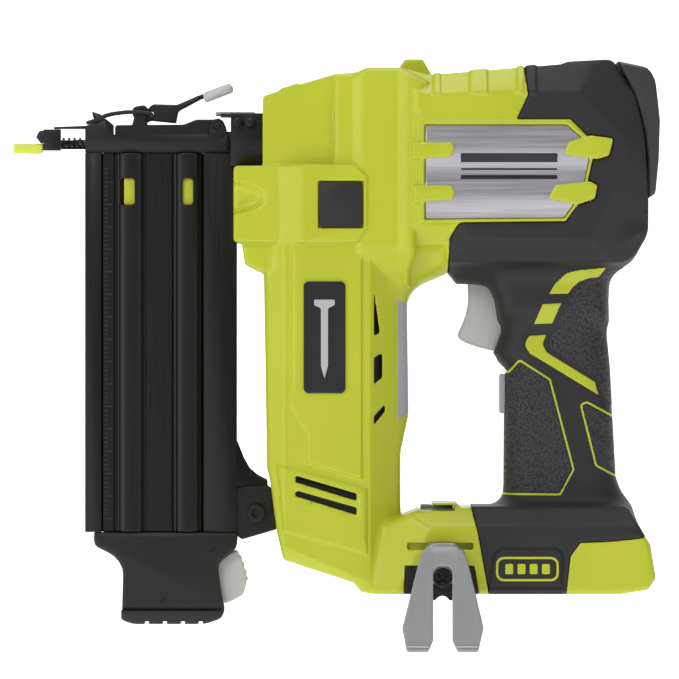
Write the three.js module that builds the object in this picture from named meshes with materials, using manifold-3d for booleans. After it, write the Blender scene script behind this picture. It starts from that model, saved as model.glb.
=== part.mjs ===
// Cordless 18-gauge brad nailer with a built-in compressor, lying in its working pose: the nose
// points to -X, the handle and the battery foot are below, and the two housing halves meet at y = 0.
// Millimetres. The origin is on the battery seat under the foot, in front of the battery post socket.
import * as THREE from "three";
import { mergeVertices } from "three/addons/utils/BufferGeometryUtils.js";
import Module from "manifold-3d";

const wasm = await Module();
wasm.setup();

// ---- Driving dimensions ----
const GAP = 0.3; // between fixed pieces that touch
const SPLIT = 0.15; // each half of the parting gap
const WALL = 3; // housing wall
const OVERLAY = 2; // rubber layer over the foot
const HALF = { top: 40, front: 36, block: 28, neck: 26, column: 33.5, foot: 39, handle: 17.5 };

const DRIVE_Z = 205; // axis of the drive cylinder and of the driver blade
const DRIVE_BORE = 14;
const BLADE = { width: 2.8, thick: 1.2, rear: -6.5, tip: -128.5 };
const CHANNEL = { halfWidth: 1.7, low: 204.2, high: 205.8 };

const PUMP_Z = 166; // axis of the compressor cylinder
const PUMP_BORE = 16;
const CRANK_RADIUS = 13;
const ROD_LENGTH = 45;
const MOTOR_X = -74.5; // axis of motor, gearbox and crank
const WRIST_X = MOTOR_X - CRANK_RADIUS + ROD_LENGTH; // piston pin, piston fully out

const TOOTH_MODULE = 1.15;
const TEETH = { sun: 9, planet: 12, ring: 33 };
const PLANETS = 3;
const GEARS = { low: 102, high: 122 };

const TRIGGER_PIVOT = { x: -7.5, z: 141.5 };
const DOOR_PIVOT = { x: -126.5, z: 208 };
const LEVER_PIVOT = { x: -161, z: 212 };
const BAIL_PIVOT = { x: -156, z: 213.5 };
const DIAL = { x: 64.8, z: 205, radius: 14 };
const WHEEL = { x: -124, y: 17.5, z: 200, radius: 4.4 };

const MAGAZINE = { left: -185.5, right: -117.9, low: 27, high: 196, back: 8, front: -7.5 };
const NAILS = { left: -181.5, right: -129, half: 0.7 };
const COVER = { left: -177.7, right: -133.1, inner: -0.9, face: -6.8, ribFace: -9.5 };
const RIBS = [{ left: -170.5, right: -159.5 }, { left: -145, right: -134.5 }];
const RIB_WALL = 2;

const SCREWS = [
  { x: -98, z: 178, half: HALF.front },
  { x: 50, z: 157, half: HALF.top },
  { x: -86, z: 19, half: HALF.column },
  { x: 57, z: 12, half: HALF.foot },
];

const COLOURS = {
  lime: [0xb9c827, 0.45, 0],
  dark: [0x3b3a3c, 0.65, 0],
  black: [0x1d1d1e, 0.5, 0],
  grey: [0xa9a9a7, 0.5, 0],
  steel: [0x9b9b9b, 0.35, 1],
  panel: [0xb5b2ba, 0.35, 1],
  aluminium: [0xb4b4b2, 0.45, 1],
  copper: [0xb0703c, 0.4, 1],
  pad: [0xd4dc5a, 0.5, 0],
  lens: [0xe8eef2, 0.15, 0],
  board: [0x1f5a35, 0.6, 0],
  rubber: [0x2a2a2b, 0.85, 0],
};

// ---- Geometry helpers ----
// A closed geometry as a solid that can be joined and cut.
function solid(geometry) {
  const bare = new THREE.BufferGeometry();
  bare.setAttribute("position", geometry.getAttribute("position"));
  if (geometry.index) bare.setIndex(geometry.index);
  const merged = mergeVertices(bare, 1e-4);
  const triVerts = new Uint32Array(merged.index.array);
  const vertProperties = merged.attributes.position.array;
  return new wasm.Manifold(new wasm.Mesh({ numProp: 3, vertProperties, triVerts }));
}

const join = (first, ...rest) => rest.reduce((all, s) => all.add(s), first);
const cut = (first, ...rest) => rest.reduce((all, s) => all.subtract(s), first);

// The points of an outline, counter-clockwise, each with its corner radius.
function anticlockwise(points) {
  const area = THREE.ShapeUtils.area(points.map(([x, y]) => ({ x, y })));
  return area < 0 ? [...points].reverse() : points;
}

// The same outline moved outwards by a distance, or inwards by a negative one.
function grow(points, distance) {
  const edgeNormal = (a, b) => new THREE.Vector2(b[1] - a[1], a[0] - b[0]).normalize();
  return points.map((p, i) => {
    const before = edgeNormal(points.at(i - 1), p);
    const after = edgeNormal(p, points[(i + 1) % points.length]);
    const miter = before.clone().add(after).divideScalar(1 + before.dot(after));
    return [p[0] + distance * miter.x, p[1] + distance * miter.y, p[2] || 0];
  });
}

// An outline's corners rounded, as plain points: each rounded corner always gives three of them.
function rounded(points) {
  const at = (i) => new THREE.Vector2(...points[(i + points.length) % points.length]);
  return points.flatMap(([, , radius], i) => {
    const corner = at(i);
    if (!radius) return [corner];
    const toward = (other) => {
      const reach = Math.min(radius, corner.distanceTo(other) * 0.48);
      return other.clone().sub(corner).setLength(reach).add(corner);
    };
    return new THREE.QuadraticBezierCurve(toward(at(i - 1)), corner, toward(at(i + 1))).getPoints(2);
  });
}

// An outline in the XZ plane, extruded from y = from to y = to, with its two rims bevelled.
function slab(points, from, to, { edge = 0, by = 0, steps = 1 } = {}) {
  const outline = grow(anticlockwise(points), by);
  const layers = [];
  for (let i = 0; i <= (edge ? steps : 0); i++) {
    const angle = (i / steps) * (Math.PI / 2);
    layers.push([edge * (1 - Math.sin(angle)), edge * (1 - Math.cos(angle))]);
  }
  const rings = [
    ...layers.map(([inset, rise]) => [inset, from + rise]),
    ...layers.reverse().map(([inset, rise]) => [inset, to - rise]),
  ].map(([inset, y]) => rounded(grow(outline, -inset)).map((p) => new THREE.Vector3(p.x, y, p.y)));
  const count = rings[0].length;
  const caps = THREE.ShapeUtils.triangulateShape(rings[0].map((p) => new THREE.Vector2(p.x, p.z)), []);
  const last = (rings.length - 1) * count;
  const index = caps.flatMap(([a, b, c]) => [a, b, c, last + a, last + c, last + b]);
  for (let ring = 0; ring < last; ring += count) {
    for (let i = 0; i < count; i++) {
      const next = (i + 1) % count;
      index.push(ring + i, ring + count + i, ring + count + next);
      index.push(ring + i, ring + count + next, ring + next);
    }
  }
  return solid(new THREE.BufferGeometry().setFromPoints(rings.flat()).setIndex(index));
}

const plate = (points, half, options) => slab(points, -half, half, options);

function block(x, y, z) {
  const geometry = new THREE.BoxGeometry(x[1] - x[0], y[1] - y[0], z[1] - z[0]);
  geometry.translate((x[0] + x[1]) / 2, (y[0] + y[1]) / 2, (z[0] + z[1]) / 2);
  return solid(geometry);
}

// Turns a geometry made along +Z so that it runs along the named axis, starting at a point.
function aim(geometry, axis, x, y, z) {
  if (axis === "x") geometry.rotateY(Math.PI / 2);
  if (axis === "y") geometry.rotateX(-Math.PI / 2);
  return geometry.translate(x, y, z);
}

function rod(axis, [x, y, z], radius, length, sides = 16) {
  const geometry = new THREE.CylinderGeometry(radius, radius, length, sides);
  geometry.rotateX(Math.PI / 2).translate(0, 0, length / 2);
  return solid(aim(geometry, axis, x, y, z));
}

// A closed [radius, height] profile turned about an axis.
function turned(axis, [x, y, z], profile, sides = 24) {
  const points = profile.map(([r, h]) => new THREE.Vector2(r, h));
  if (profile[0][0] > 0) points.push(points[0].clone());
  const geometry = new THREE.LatheGeometry(points, sides);
  geometry.rotateX(Math.PI / 2);
  const made = aim(geometry, axis, x, y, z);
  const shaped = solid(made);
  return shaped.volume() > 0 ? shaped : solid(flipped(made));
}

function flipped(geometry) {
  const index = geometry.index.array.slice();
  for (let i = 0; i < index.length; i += 3) {
    [index[i + 1], index[i + 2]] = [index[i + 2], index[i + 1]];
  }
  return geometry.clone().setIndex(new THREE.BufferAttribute(index, 1));
}

// Points round a circle, counter-clockwise.
function circle(radius, sides) {
  return Array.from({ length: sides }, (_, i) => {
    const angle = (i * 2 * Math.PI) / sides;
    return new THREE.Vector2(radius * Math.cos(angle), radius * Math.sin(angle));
  });
}

// A round wire along a smooth curve through points.
function wire(points, radius, steps) {
  const path = new THREE.CatmullRomCurve3(points.map((p) => new THREE.Vector3(...p)));
  path.curveType = "centripetal";
  const section = new THREE.Shape(circle(radius, 6));
  return solid(new THREE.ExtrudeGeometry(section, { extrudePath: path, steps, bevelEnabled: false }));
}

// ---- Gears ----
// The outline of a gear: straight-flanked teeth between the two radii.
function gearOutline(teeth, rootRadius, tipRadius, pitchRadius, thin, phase = 0) {
  const points = [];
  const pitch = (2 * Math.PI) / teeth;
  const quarter = pitch / 4 - thin / pitchRadius;
  const outward = Math.sign(tipRadius - rootRadius);
  const flank = (radius) => quarter - (outward * (radius - pitchRadius) * Math.tan(0.35)) / pitchRadius;
  for (let i = 0; i < teeth; i++) {
    const middle = i * pitch + phase;
    for (const [side, radius] of [[-1, rootRadius], [-1, tipRadius], [1, tipRadius], [1, rootRadius]]) {
      const angle = middle + side * Math.max(flank(radius), 0.02);
      points.push(new THREE.Vector2(radius * Math.cos(angle), radius * Math.sin(angle)));
    }
  }
  return points;
}

function prism(points, low, high, holes = []) {
  const shape = new THREE.Shape(points);
  shape.holes = holes.map((hole) => new THREE.Path(hole));
  const geometry = new THREE.ExtrudeGeometry(shape, { depth: high - low, bevelEnabled: false });
  return solid(geometry.translate(0, 0, low));
}

const pitchRadius = (teeth) => (teeth * TOOTH_MODULE) / 2;
const BACKLASH = 0.12;
const CARRIER_RADIUS = pitchRadius(TEETH.sun) + pitchRadius(TEETH.planet);

function outerGear(teeth, low, high, phase) {
  const r = pitchRadius(teeth);
  const outline = gearOutline(teeth, r - 1.2 * TOOTH_MODULE, r + 0.8 * TOOTH_MODULE, r, BACKLASH, phase);
  return prism(outline, low, high);
}

// ---- Housing ----
const TOP = [
  [-50, 148], [-50, 231], [-32, 230.5], [9, 233.5], [47, 237.6, 8], [58, 222, 14], [62.5, 204],
  [64.2, 178], [64.3, 162, 14],
  [57, 148, 8],
];
const HUMP = [[-46, 228], [-45, 232.5], [-42.5, 236.5, 1.5], [-35, 236.5, 1.5], [-32, 230], [-32, 228]];
const FRONT = [
  [-106.5, 142], [-106.5, 220.5, 6], [-74, 230.5, 14], [-65, 231], [-60, 233], [-40, 233], [-40, 142],
];
const BLOCK = [
  [-100, 143], [-114, 146, 2], [-115.5, 155], [-119, 156.5, 2], [-119, 189.5, 2], [-100, 189.5],
];
const NECK = [
  [-50, 136], [-42.3, 134.8], [-26, 141.3], [-24, 143], [-20, 137.6], [-5, 137], [-1.5, 131.5],
  [0, 124], [45.5, 124], [46.5, 139, 4], [58, 148.5, 4], [60, 160], [-50, 160],
];
const COLUMN = [
  [-106, 152], [-105, 103], [-104.3, 65], [-100, 28], [-97, 15, 4], [-65.5, 4.5], [-62, 1, 2],
  [-38, 1], [-38, 33], [-45, 33.5, 3], [-45, 62.5], [-41.5, 79], [-42.3, 134], [-42.3, 152],
];
const FOOT = [
  [-62, 0.5], [-55, 0], [27.5, 0], [64.5, 2, 2], [68, 7, 3], [65.5, 22], [55.5, 39, 4], [-30, 39, 6],
  [-38, 36.5, 3], [-45.5, 34], [-62, 30],
];
const HANDLE = [
  [1, 20], [1.5, 99], [-3.8, 106.8], [0.5, 118.5], [-1.5, 131], [-4.5, 140], [-4.5, 152], [46.5, 152],
  [45.5, 130], [48.5, 100], [50, 70], [51, 52], [56, 38], [56, 20],
];
// The dark part of the body: the rear of the top and the whole handle.
const DARK = [
  [9.5, 250], [11.5, 221], [6.5, 210.5], [30, 210.5], [38, 202], [40, 192.5], [37.5, 181.5],
  [28, 165.5], [-19, 164.5], [-23, 158], [-23.7, 143], [-23.7, 128], [-12, 104], [-12, 37.5],
  [80, 37.5], [80, 250],
];
const DARK_FOOT = [
  [-13.5, 45], [-11, 28.5], [-5, -5], [27.5, -5], [30, 17], [34.5, 23], [47.5, 23.5], [62, 26], [70, 45],
];

const SEAT_PLATE = { left: -52, right: 50, half: 31, high: 4 };
const PANEL = [
  [-34.5, 208, 2], [28.5, 208, 3], [36, 201, 2], [39, 192.5, 2], [36.5, 181.5], [32, 173], [27.5, 166.5, 2],
  [-34.5, 166, 2],
];
const PLUG = [[-81, 162.5, 1.5], [-62, 162.5, 1.5], [-62, 182.5, 1.5], [-81, 182.5, 1.5]];
const LENS = { x: [-36, -21.5], y: [-8, 8], z: [37.3, 39.4] };

const widen = (range, by) => [range[0] - by, range[1] + by];

function outerBody() {
  const topBody = join(plate(TOP, HALF.top, { edge: 5 }), plate(HUMP, 12, { edge: 1 }));
  const frontBody = plate(FRONT, HALF.front, { edge: 5, steps: 1 });
  const noseBlock = plate(BLOCK, HALF.block, { edge: 2 });
  const neck = plate(NECK, HALF.neck, { edge: 5 });
  const column = plate(COLUMN, HALF.column, { edge: 5 });
  const foot = plate(FOOT, HALF.foot, { edge: 3 });
  const handle = plate(HANDLE, HALF.handle, { edge: 7 });
  return join(topBody, frontBody, noseBlock, neck, column, foot, handle);
}

function innerSpace() {
  const inset = { by: -WALL, edge: 3 };
  const footWall = WALL + OVERLAY + GAP;
  return join(
    plate(TOP, HALF.top - WALL - 1, inset),
    plate(FRONT, HALF.front - WALL, inset),
    plate(NECK, HALF.neck - WALL, inset),
    plate(COLUMN, HALF.column - WALL, inset),
    plate(FOOT, HALF.foot - footWall, { by: -footWall, edge: 1 }),
    plate(HANDLE, HALF.handle - WALL, { by: -WALL, edge: 6 }),
  );
}

// Everything that passes through the housing walls.
function wallOpenings() {
  const seat = SEAT_PLATE;
  const panelDepth = HALF.top - 2;
  const plugDepth = HALF.front - 1.5;
  return join(
    block([seat.left - GAP, seat.right + GAP], [-seat.half - GAP, seat.half + GAP], [-1, 7]),
    block([-108, -100], [-14.5, 14.5], [189.7, 214]),
    block([-121, MAGAZINE.right + GAP], [MAGAZINE.front - GAP, MAGAZINE.back + 2], [140, 197]),
    block([-17, 8], [-6.2, 6.2], [104.5, 141]),
    block(widen(LENS.x, GAP), widen(LENS.y, GAP), [36.9, 42]),
    rod("x", [52, 0, DIAL.z], 5.6, 20),
    slab(PANEL, panelDepth, panelDepth + 6, { by: GAP }),
    slab(PANEL, -panelDepth - 6, -panelDepth, { by: GAP }),
    slab(PLUG, plugDepth, plugDepth + 6, { by: GAP }),
    slab(PLUG, -plugDepth - 6, -plugDepth, { by: GAP }),
  );
}

// A screw post on both halves, its through hole, and the sunk seat for the head on the right side.
function screwPost({ x, z, half }) {
  return rod("y", [x, -half + 1, z], 4.6, 2 * half - 2, 12);
}
function screwHole({ x, z, half }) {
  return join(
    rod("y", [x, -half + 6, z], 1.9, 2 * half, 10),
    rod("y", [x, half - 3.5, z], 3.9, 6, 12),
  );
}

const WHOLE = { x: [-300, 200], z: [-100, 300] };
const leftSide = () => block(WHOLE.x, [-100, -SPLIT], WHOLE.z);
const rightSide = () => block(WHOLE.x, [SPLIT, 100], WHOLE.z);

function housingShells() {
  const posts = join(...SCREWS.map(screwPost));
  const openings = join(wallOpenings(), ...SCREWS.map(screwHole));
  const outer = outerBody();
  const pinBoss = rod("y", [TRIGGER_PIVOT.x, -24, TRIGGER_PIVOT.z], 3.2, 48, 12);
  const pinHole = rod("y", [TRIGGER_PIVOT.x, -12, TRIGGER_PIVOT.z], 1.6, 24, 12);
  const slot = block([-17, 8], [-6.2, 6.2], [104.5, 147]);
  const posted = join(outer.subtract(innerSpace()), posts.intersect(outer), pinBoss);
  const shell = cut(posted, openings, pinHole, slot);
  const limeFoot = plate(FOOT, HALF.foot - OVERLAY - GAP, { by: -OVERLAY - GAP, edge: 2 });
  const darkFoot = plate(FOOT, HALF.foot - OVERLAY, { by: -OVERLAY, edge: 2 });
  const overlayZone = slab(DARK_FOOT, -60, 60, { by: SPLIT }).subtract(limeFoot);
  const lime = cut(shell, slab(DARK, -60, 60, { by: SPLIT }), overlayZone);
  const darkBody = shell.intersect(slab(DARK, -60, 60, { by: -SPLIT }));
  const overlay = shell.intersect(slab(DARK_FOOT, -60, 60, { by: -SPLIT })).subtract(darkFoot);
  const dark = join(darkBody, overlay);
  return { lime, dark };
}

// ---- Pieces on the housing ----
function rearCap() {
  const outline = [
    [51.5, 236.2], [64.5, 233.5, 2], [68, 228.5, 3], [70, 210], [69.5, 193], [68, 177.5, 1], [65, 175.5],
    [64.4, 193], [62.9, 205], [58.6, 222.4],
  ];
  return cut(plate(outline, 30, { edge: 1 }), rod("x", [50, 0, DIAL.z], DIAL.radius + 0.4, 30, 32));
}

function pressureDial() {
  const { radius } = DIAL;
  const profile = [[0, -9], [5.2, -9], [5.2, 0], [radius, 0], [radius, 3], [radius - 1, 4], [0, 4]];
  const grip = block([DIAL.x + 1, DIAL.x + 4.9], [-2, 2], [DIAL.z - 11, DIAL.z + 11]);
  return join(turned("x", [DIAL.x, 0, DIAL.z], profile), grip);
}

function cylinderPanel(side) {
  const [near, far] = [HALF.top - 2 + GAP, HALF.top + 0.6];
  return side < 0 ? slab(PANEL, -far, -near, { edge: 0.6 }) : slab(PANEL, near, far, { edge: 0.6 });
}

function sidePlug(side) {
  const [near, far] = [HALF.front - 1.5 + GAP, HALF.front + 0.6];
  return side < 0 ? slab(PLUG, -far, -near) : slab(PLUG, near, far);
}

function namePlate() {
  const outline = [[-88, 89, 5], [-69.5, 89, 5], [-69.5, 138.5, 5], [-88, 138.5, 5]];
  return slab(outline, -HALF.column - 1.4, -HALF.column - GAP, { edge: 0.4 });
}

function batterySocket() {
  const seat = SEAT_PLATE;
  const base = block([seat.left, seat.right], [-seat.half, seat.half], [0, seat.high]);
  const section = (x, y, r) => rounded([[x[0], -y, r], [x[1], -y, r], [x[1], y, r], [x[0], y, r]]);
  const tower = prism(section([7.5, 44.5], 12.2, 5), 1, 80);
  const cavity = prism(section([10, 42], 9.7, 3), -1, 76);
  return cut(join(base, tower), cavity);
}

function terminalBlock() {
  const base = block([14, 38], [-8, 8], [66, 75.7]);
  const blades = [-5, 5].map((y) => block([18, 34], [y - 0.5, y + 0.5], [59, 67]));
  return join(base, ...blades);
}

function beltHook() {
  const outside = -55.5;
  const face = [
    [-40, 20, 2], [-34.5, 23, 2], [-21.5, 23, 2], [-16.5, 20, 2], [-8.5, -14.5], [-11, -25, 2],
    [-20, -25, 2], [-22.5, -19.5], [-22.5, -2, 4], [-30.5, -2, 4], [-30.5, -19.5], [-33, -25, 2],
    [-42.5, -25, 2], [-44.5, -14.5],
  ];
  const plateOut = slab(face, outside, outside + 2.2);
  const window = slab([[-31, 1, 3], [-22, 1, 3], [-22, 13, 3], [-31, 13, 3]], -60, -50);
  const bridge = block([-36, -18], [outside + 1, -HALF.foot - GAP], [20.8, 23]);
  const inside = block([-35, -18], [-HALF.foot - 2.5, -HALF.foot - GAP], [1, 23]);
  const screwHole = rod("y", [-26.5, -45, 7.5], 2.3, 10, 12);
  return cut(join(plateOut, bridge, inside), window, screwHole);
}

function hookScrew() {
  const head = rod("y", [-26.5, -HALF.foot - 5, 7.5], 3.8, 2.2, 16);
  const shank = rod("y", [-26.5, -HALF.foot - 4, 7.5], 2, 3.9, 12);
  return join(head, shank);
}

function housingScrew({ x, z, half }) {
  const head = rod("y", [x, half - 3.2, z], 3.6, 2.2, 12);
  const shank = rod("y", [x, -half + 7, z], 1.6, 2 * half - 10, 10);
  return join(head, shank);
}

function circuitBoard() {
  const board = block([-44, 2], [-27, 27], [16, 17.6]);
  const chips = [[-38, -20], [-24, -6], [-14, 10]].map(([x, y]) => block([x, x + 9], [y, y + 9], [17, 22]));
  return join(board, ...chips);
}

// ---- Trigger ----
function trigger() {
  const outline = [
    [-10.8, 144.8, 3], [-4.2, 144.8, 3], [-3.2, 138], [2, 130, 2], [2, 108.5, 2], [-4, 107.8], [-10, 109.3],
    [-16, 111.3, 2], [-20, 114, 2], [-15.5, 123.5, 8], [-14.6, 131], [-15, 138, 2],
  ];
  return cut(
    plate(outline, 5.8, { edge: 1.2 }),
    rod("y", [TRIGGER_PIVOT.x, -7, TRIGGER_PIVOT.z], 1.56, 14, 16),
  );
}

const triggerPin = () => rod("y", [TRIGGER_PIVOT.x, -11.5, TRIGGER_PIVOT.z], 1.5, 23, 16);

const PLUNGER_Z = 119;
function triggerSwitch() {
  const body = block([10.5, 32], [-8, 8], [107, 131]);
  return cut(body, rod("x", [9, 0, PLUNGER_Z], 2.4, 11, 16));
}
const switchPlunger = () => rod("x", [2.5, 0, PLUNGER_Z], 2.2, 11, 16);

// ---- Motor, gearbox and compressor ----
function motorCan() {
  const wall = 2.5;
  const r = 22;
  return turned("z", [MOTOR_X, 0, 0], [
    [2.7, 34], [r, 34], [r, 96], [6, 96], [6, 96 - wall], [r - wall, 96 - wall], [r - wall, 37], [2.7, 37],
  ]);
}

// The rotor is modelled on its own axis: armature, commutator, shaft and the sun gear.
function rotor() {
  const shaft = turned("z", [0, 0, 0], [
    [0, 35], [2.5, 35], [2.5, 41], [8, 41], [8, 47], [17, 49], [17, 88], [2.5, 91], [2.5, 103], [0, 103],
  ], 24);
  return join(shaft, outerGear(TEETH.sun, 100, GEARS.high, 0));
}

function ringGear() {
  const r = pitchRadius(TEETH.ring);
  const inside = gearOutline(
    TEETH.ring, r + 1.2 * TOOTH_MODULE, r - 0.8 * TOOTH_MODULE, r, BACKLASH, 0,
  );
  return prism(circle(24, 32), 98, 124, [inside.reverse()]);
}

// A planet on its own axis. It has a gap at angle 0, where the ring's tooth and the sun's tooth point.
function planetGear() {
  return cut(
    outerGear(TEETH.planet, GEARS.low, GEARS.high, Math.PI / TEETH.planet),
    rod("z", [0, 0, GEARS.low - 1], 2.5, GEARS.high - GEARS.low + 2, 16),
  );
}

function crank() {
  const body = turned("z", [0, 0, 0], [[0, 124.5], [21, 124.5], [21, 130], [20, 131], [20, 141], [0, 141]]);
  const pin = rod("z", [-CRANK_RADIUS, 0, 140], 4, 21.5, 20);
  const axles = [];
  for (let i = 0; i < PLANETS; i++) {
    const angle = (2 * Math.PI * i) / PLANETS;
    const at = [CARRIER_RADIUS * Math.cos(angle), CARRIER_RADIUS * Math.sin(angle), GEARS.low + 1];
    axles.push(rod("z", at, 2.4, 23, 16));
  }
  return join(body, pin, ...axles);
}

function connectingRod() {
  const low = PUMP_Z - 4;
  const crankX = MOTOR_X - CRANK_RADIUS;
  const bigEnd = rod("z", [crankX, 0, low], 7, 8, 24);
  const smallEnd = rod("z", [WRIST_X, 0, low], 5.2, 8, 20);
  const shank = block([crankX, WRIST_X], [-2.6, 2.6], [low + 1, low + 7]);
  return cut(
    join(bigEnd, smallEnd, shank),
    rod("z", [crankX, 0, low - 1], 4.2, 10, 20),
    rod("z", [WRIST_X, 0, low - 1], 2.6, 10, 16),
  );
}

function compressorCylinder() {
  const r = 19;
  return turned("x", [0, 0, PUMP_Z], [
    [PUMP_BORE + 0.05, -50], [r, -50], [r, -44], [r - 1.5, -43], [r - 1.5, -8], [r, -7], [r, 2], [0, 2],
    [0, -2], [PUMP_BORE + 0.05, -2],
  ].reverse());
}

function compressorPiston() {
  const [rear, front] = [WRIST_X - 6, WRIST_X + 12];
  const r = PUMP_BORE - 0.05;
  const body = turned("x", [0, 0, PUMP_Z], [
    [0, rear], [r, rear], [r, front - 6], [r - 1, front - 6], [r - 1, front - 4], [r, front - 4],
    [r, front], [0, front],
  ]);
  const pocket = block([rear - 1, WRIST_X + 6.5], [-9.5, 9.5], [PUMP_Z - 4.3, PUMP_Z + 4.3]);
  const pin = rod("z", [WRIST_X, 0, PUMP_Z - 6], 2.5, 12, 16);
  return join(body.subtract(pocket), pin);
}

// ---- Drive ----
function driveCylinder() {
  const r = DRIVE_BORE + 2.5;
  return turned("x", [0, 0, DRIVE_Z], [
    [0, 12], [r, 12], [r, 6], [r - 1, 5], [r - 1, -88], [r, -89], [r, -93], [DRIVE_BORE + 0.05, -93],
    [DRIVE_BORE + 0.05, 9.5], [0, 9.5],
  ]);
}

const driveBumper = () =>
  turned("x", [0, 0, DRIVE_Z], [
    [4.6, -92], [DRIVE_BORE - GAP, -92], [DRIVE_BORE - GAP, -85], [9, -84], [4.6, -84],
  ]);

function drivePiston() {
  const r = DRIVE_BORE - 0.05;
  return turned("x", [0, 0, DRIVE_Z], [
    [0, -6], [4, -6], [4, 0.5], [r, 0.5], [r, 2.5], [r - 1, 2.5], [r - 1, 4.5], [r, 4.5], [r, 8.5],
    [0, 8.5],
  ]);
}

function driverBlade() {
  const { width, thick, rear, tip } = BLADE;
  return block([tip, rear], [-width / 2, width / 2], [DRIVE_Z - thick / 2, DRIVE_Z + thick / 2]);
}

// ---- Nose ----
const channel = (x) =>
  block(x, [-CHANNEL.halfWidth, CHANNEL.halfWidth], [CHANNEL.low, CHANNEL.high]);

function noseCasting() {
  const flange = rod("x", [-98, 0, DRIVE_Z], 14.6, 4.7, 24);
  const neck = block([-120.5, -97], [-13.8, 13.8], [190, 213.5]);
  const lip = block([-125, -119], [-9, 9], [211.9, 213.5]);
  const ear = block([-120.5, -116], [13, 21], [196, 204]);
  const stub = rod("x", [-126, WHEEL.y, WHEEL.z], 1.2, 8, 12);
  const basePocket = block([-121, -109.2], [-7.8, 7.8], [196.7, 206]);
  const rodPocket = block([-121, -110.5], [10.5, 13.1], [197.7, 202.3]);
  const pocketDepth = [MAGAZINE.front - GAP, MAGAZINE.back + 2];
  const magazinePocket = block([-121, MAGAZINE.right + GAP], pocketDepth, [189, 196.3]);
  const doorRoom = block([-121, -119.8], [-10, 10], [203.9, 211.9]);
  return cut(
    join(flange, neck, lip, ear, stub),
    basePocket, rodPocket, magazinePocket, doorRoom, channel([-121, -90]),
  );
}

function noseBase() {
  const bar = block([-185.5, -109.5], [-7.5, 7.5], [197, CHANNEL.low]);
  const front = plate([
    [-185.5, 203], [-185.5, 208], [-181.5, 209.3], [-176.5, 211.5, 1], [-173, 208.5], [-173, 203],
  ], 7.5);
  const shield = plate([[-186, 206.8], [-199.5, 206.8], [-199.5, 207.6], [-184, 208.2], [-184, 206.8]], 4);
  const tongue = plate([[-180.5, 208], [-182.4, 213], [-182.4, 214.6], [-178.5, 213.2], [-176.5, 209]], 3);
  const hingePad = block([-131, -122], [-10.3, 10.3], [197, CHANNEL.low]);
  const ears = [-1, 1].map((side) => {
    const ear = [
      [-130.3, 203], [-130, 208, 2], [-127.5, 211.3, 2], [-125, 211.3, 2], [-122.6, 208, 2], [-122.3, 203],
    ];
    return side < 0 ? slab(ear, -10.3, -7.8) : slab(ear, 7.8, 10.3);
  });
  const nailSlot = block([-181.2, -128.2], [-0.8, 0.8], [190, 204.6]);
  const pinHole = rod("y", [DOOR_PIVOT.x, -12, DOOR_PIVOT.z], 1.5, 24, 16);
  const stub = rod("x", [-190, 0, 200.9], 1.1, 5, 12);
  return cut(
    join(bar, front, shield, tongue, hingePad, stub, ...ears),
    nailSlot, pinHole, channel([-186, -172]),
  );
}

function noseDoor() {
  const body = plate([
    [-171, 205.8], [-171, 208.6, 1], [-140, 208.6], [-136, 210.6, 2], [-126, 210.8, 2], [-124, 209],
    [-124, 205.8],
  ], 7.2, { edge: 0.6 });
  const barrel = rod("y", [DOOR_PIVOT.x, -7.2, DOOR_PIVOT.z], 3.3, 14.4, 20);
  const ear = [[-165, 207], [-163.4, 213, 2], [-161, 214.6, 2], [-158.6, 213, 2], [-157.6, 207]];
  const ears = [slab(ear, -7.2, -5), slab(ear, 5, 7.2)];
  const axle = rod("y", [LEVER_PIVOT.x, -6, LEVER_PIVOT.z], 1.2, 12, 16);
  const leverPocket = block([-168, -157], [-5, 5], [206.6, 209]);
  const pinHole = rod("y", [DOOR_PIVOT.x, -8, DOOR_PIVOT.z], 1.45, 16, 16);
  const half = [-CHANNEL.halfWidth, CHANNEL.halfWidth];
  const bladeWay = block([-172, -118], half, [200, CHANNEL.high + 0.2]);
  const tailWay = block([DOOR_PIVOT.x, -118], half, [200, 213]);
  return join(cut(join(body, barrel), leverPocket, pinHole, bladeWay, tailWay), axle, ...ears);
}

const doorPin = () => rod("y", [DOOR_PIVOT.x, -11.2, DOOR_PIVOT.z], 1.4, 22.4, 16);

// The bar of the lever that the finger tip is moulded over.
const LEVER_BAR = [[-146, 215], [-146, 217], [-131, 223.3], [-130.2, 221.4]];

function latchLever() {
  const outline = [
    [-163.3, 210.2, 1], [-164.6, 213.5], [-164.5, 216.5, 2], [-159, 217.5, 1], [-157.5, 215.8],
    [-155.5, 217.8, 1],
    [-144.5, 217.5, 1], [-135, 221.7], [-134.2, 219.8], [-144, 214.6, 1], [-145, 209.3], [-156, 210.4],
    [-158.5, 209.4],
  ];
  const body = plate(outline, 4.6, { edge: 0.6 });
  const arm = plate(LEVER_BAR, 2);
  return cut(
    join(body, arm),
    rod("y", [LEVER_PIVOT.x, -6, LEVER_PIVOT.z], 1.3, 12, 16),
    rod("y", [BAIL_PIVOT.x, -6, BAIL_PIVOT.z], 1.05, 12, 12),
  );
}

function latchTip() {
  const outline = [[-133.3, 222.7, 1], [-120.5, 227.5, 2], [-119, 223.4, 1.5], [-132, 218.4, 1]];
  return cut(plate(outline, 5, { edge: 1 }), plate(LEVER_BAR, 2 + GAP, { by: GAP }));
}

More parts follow.
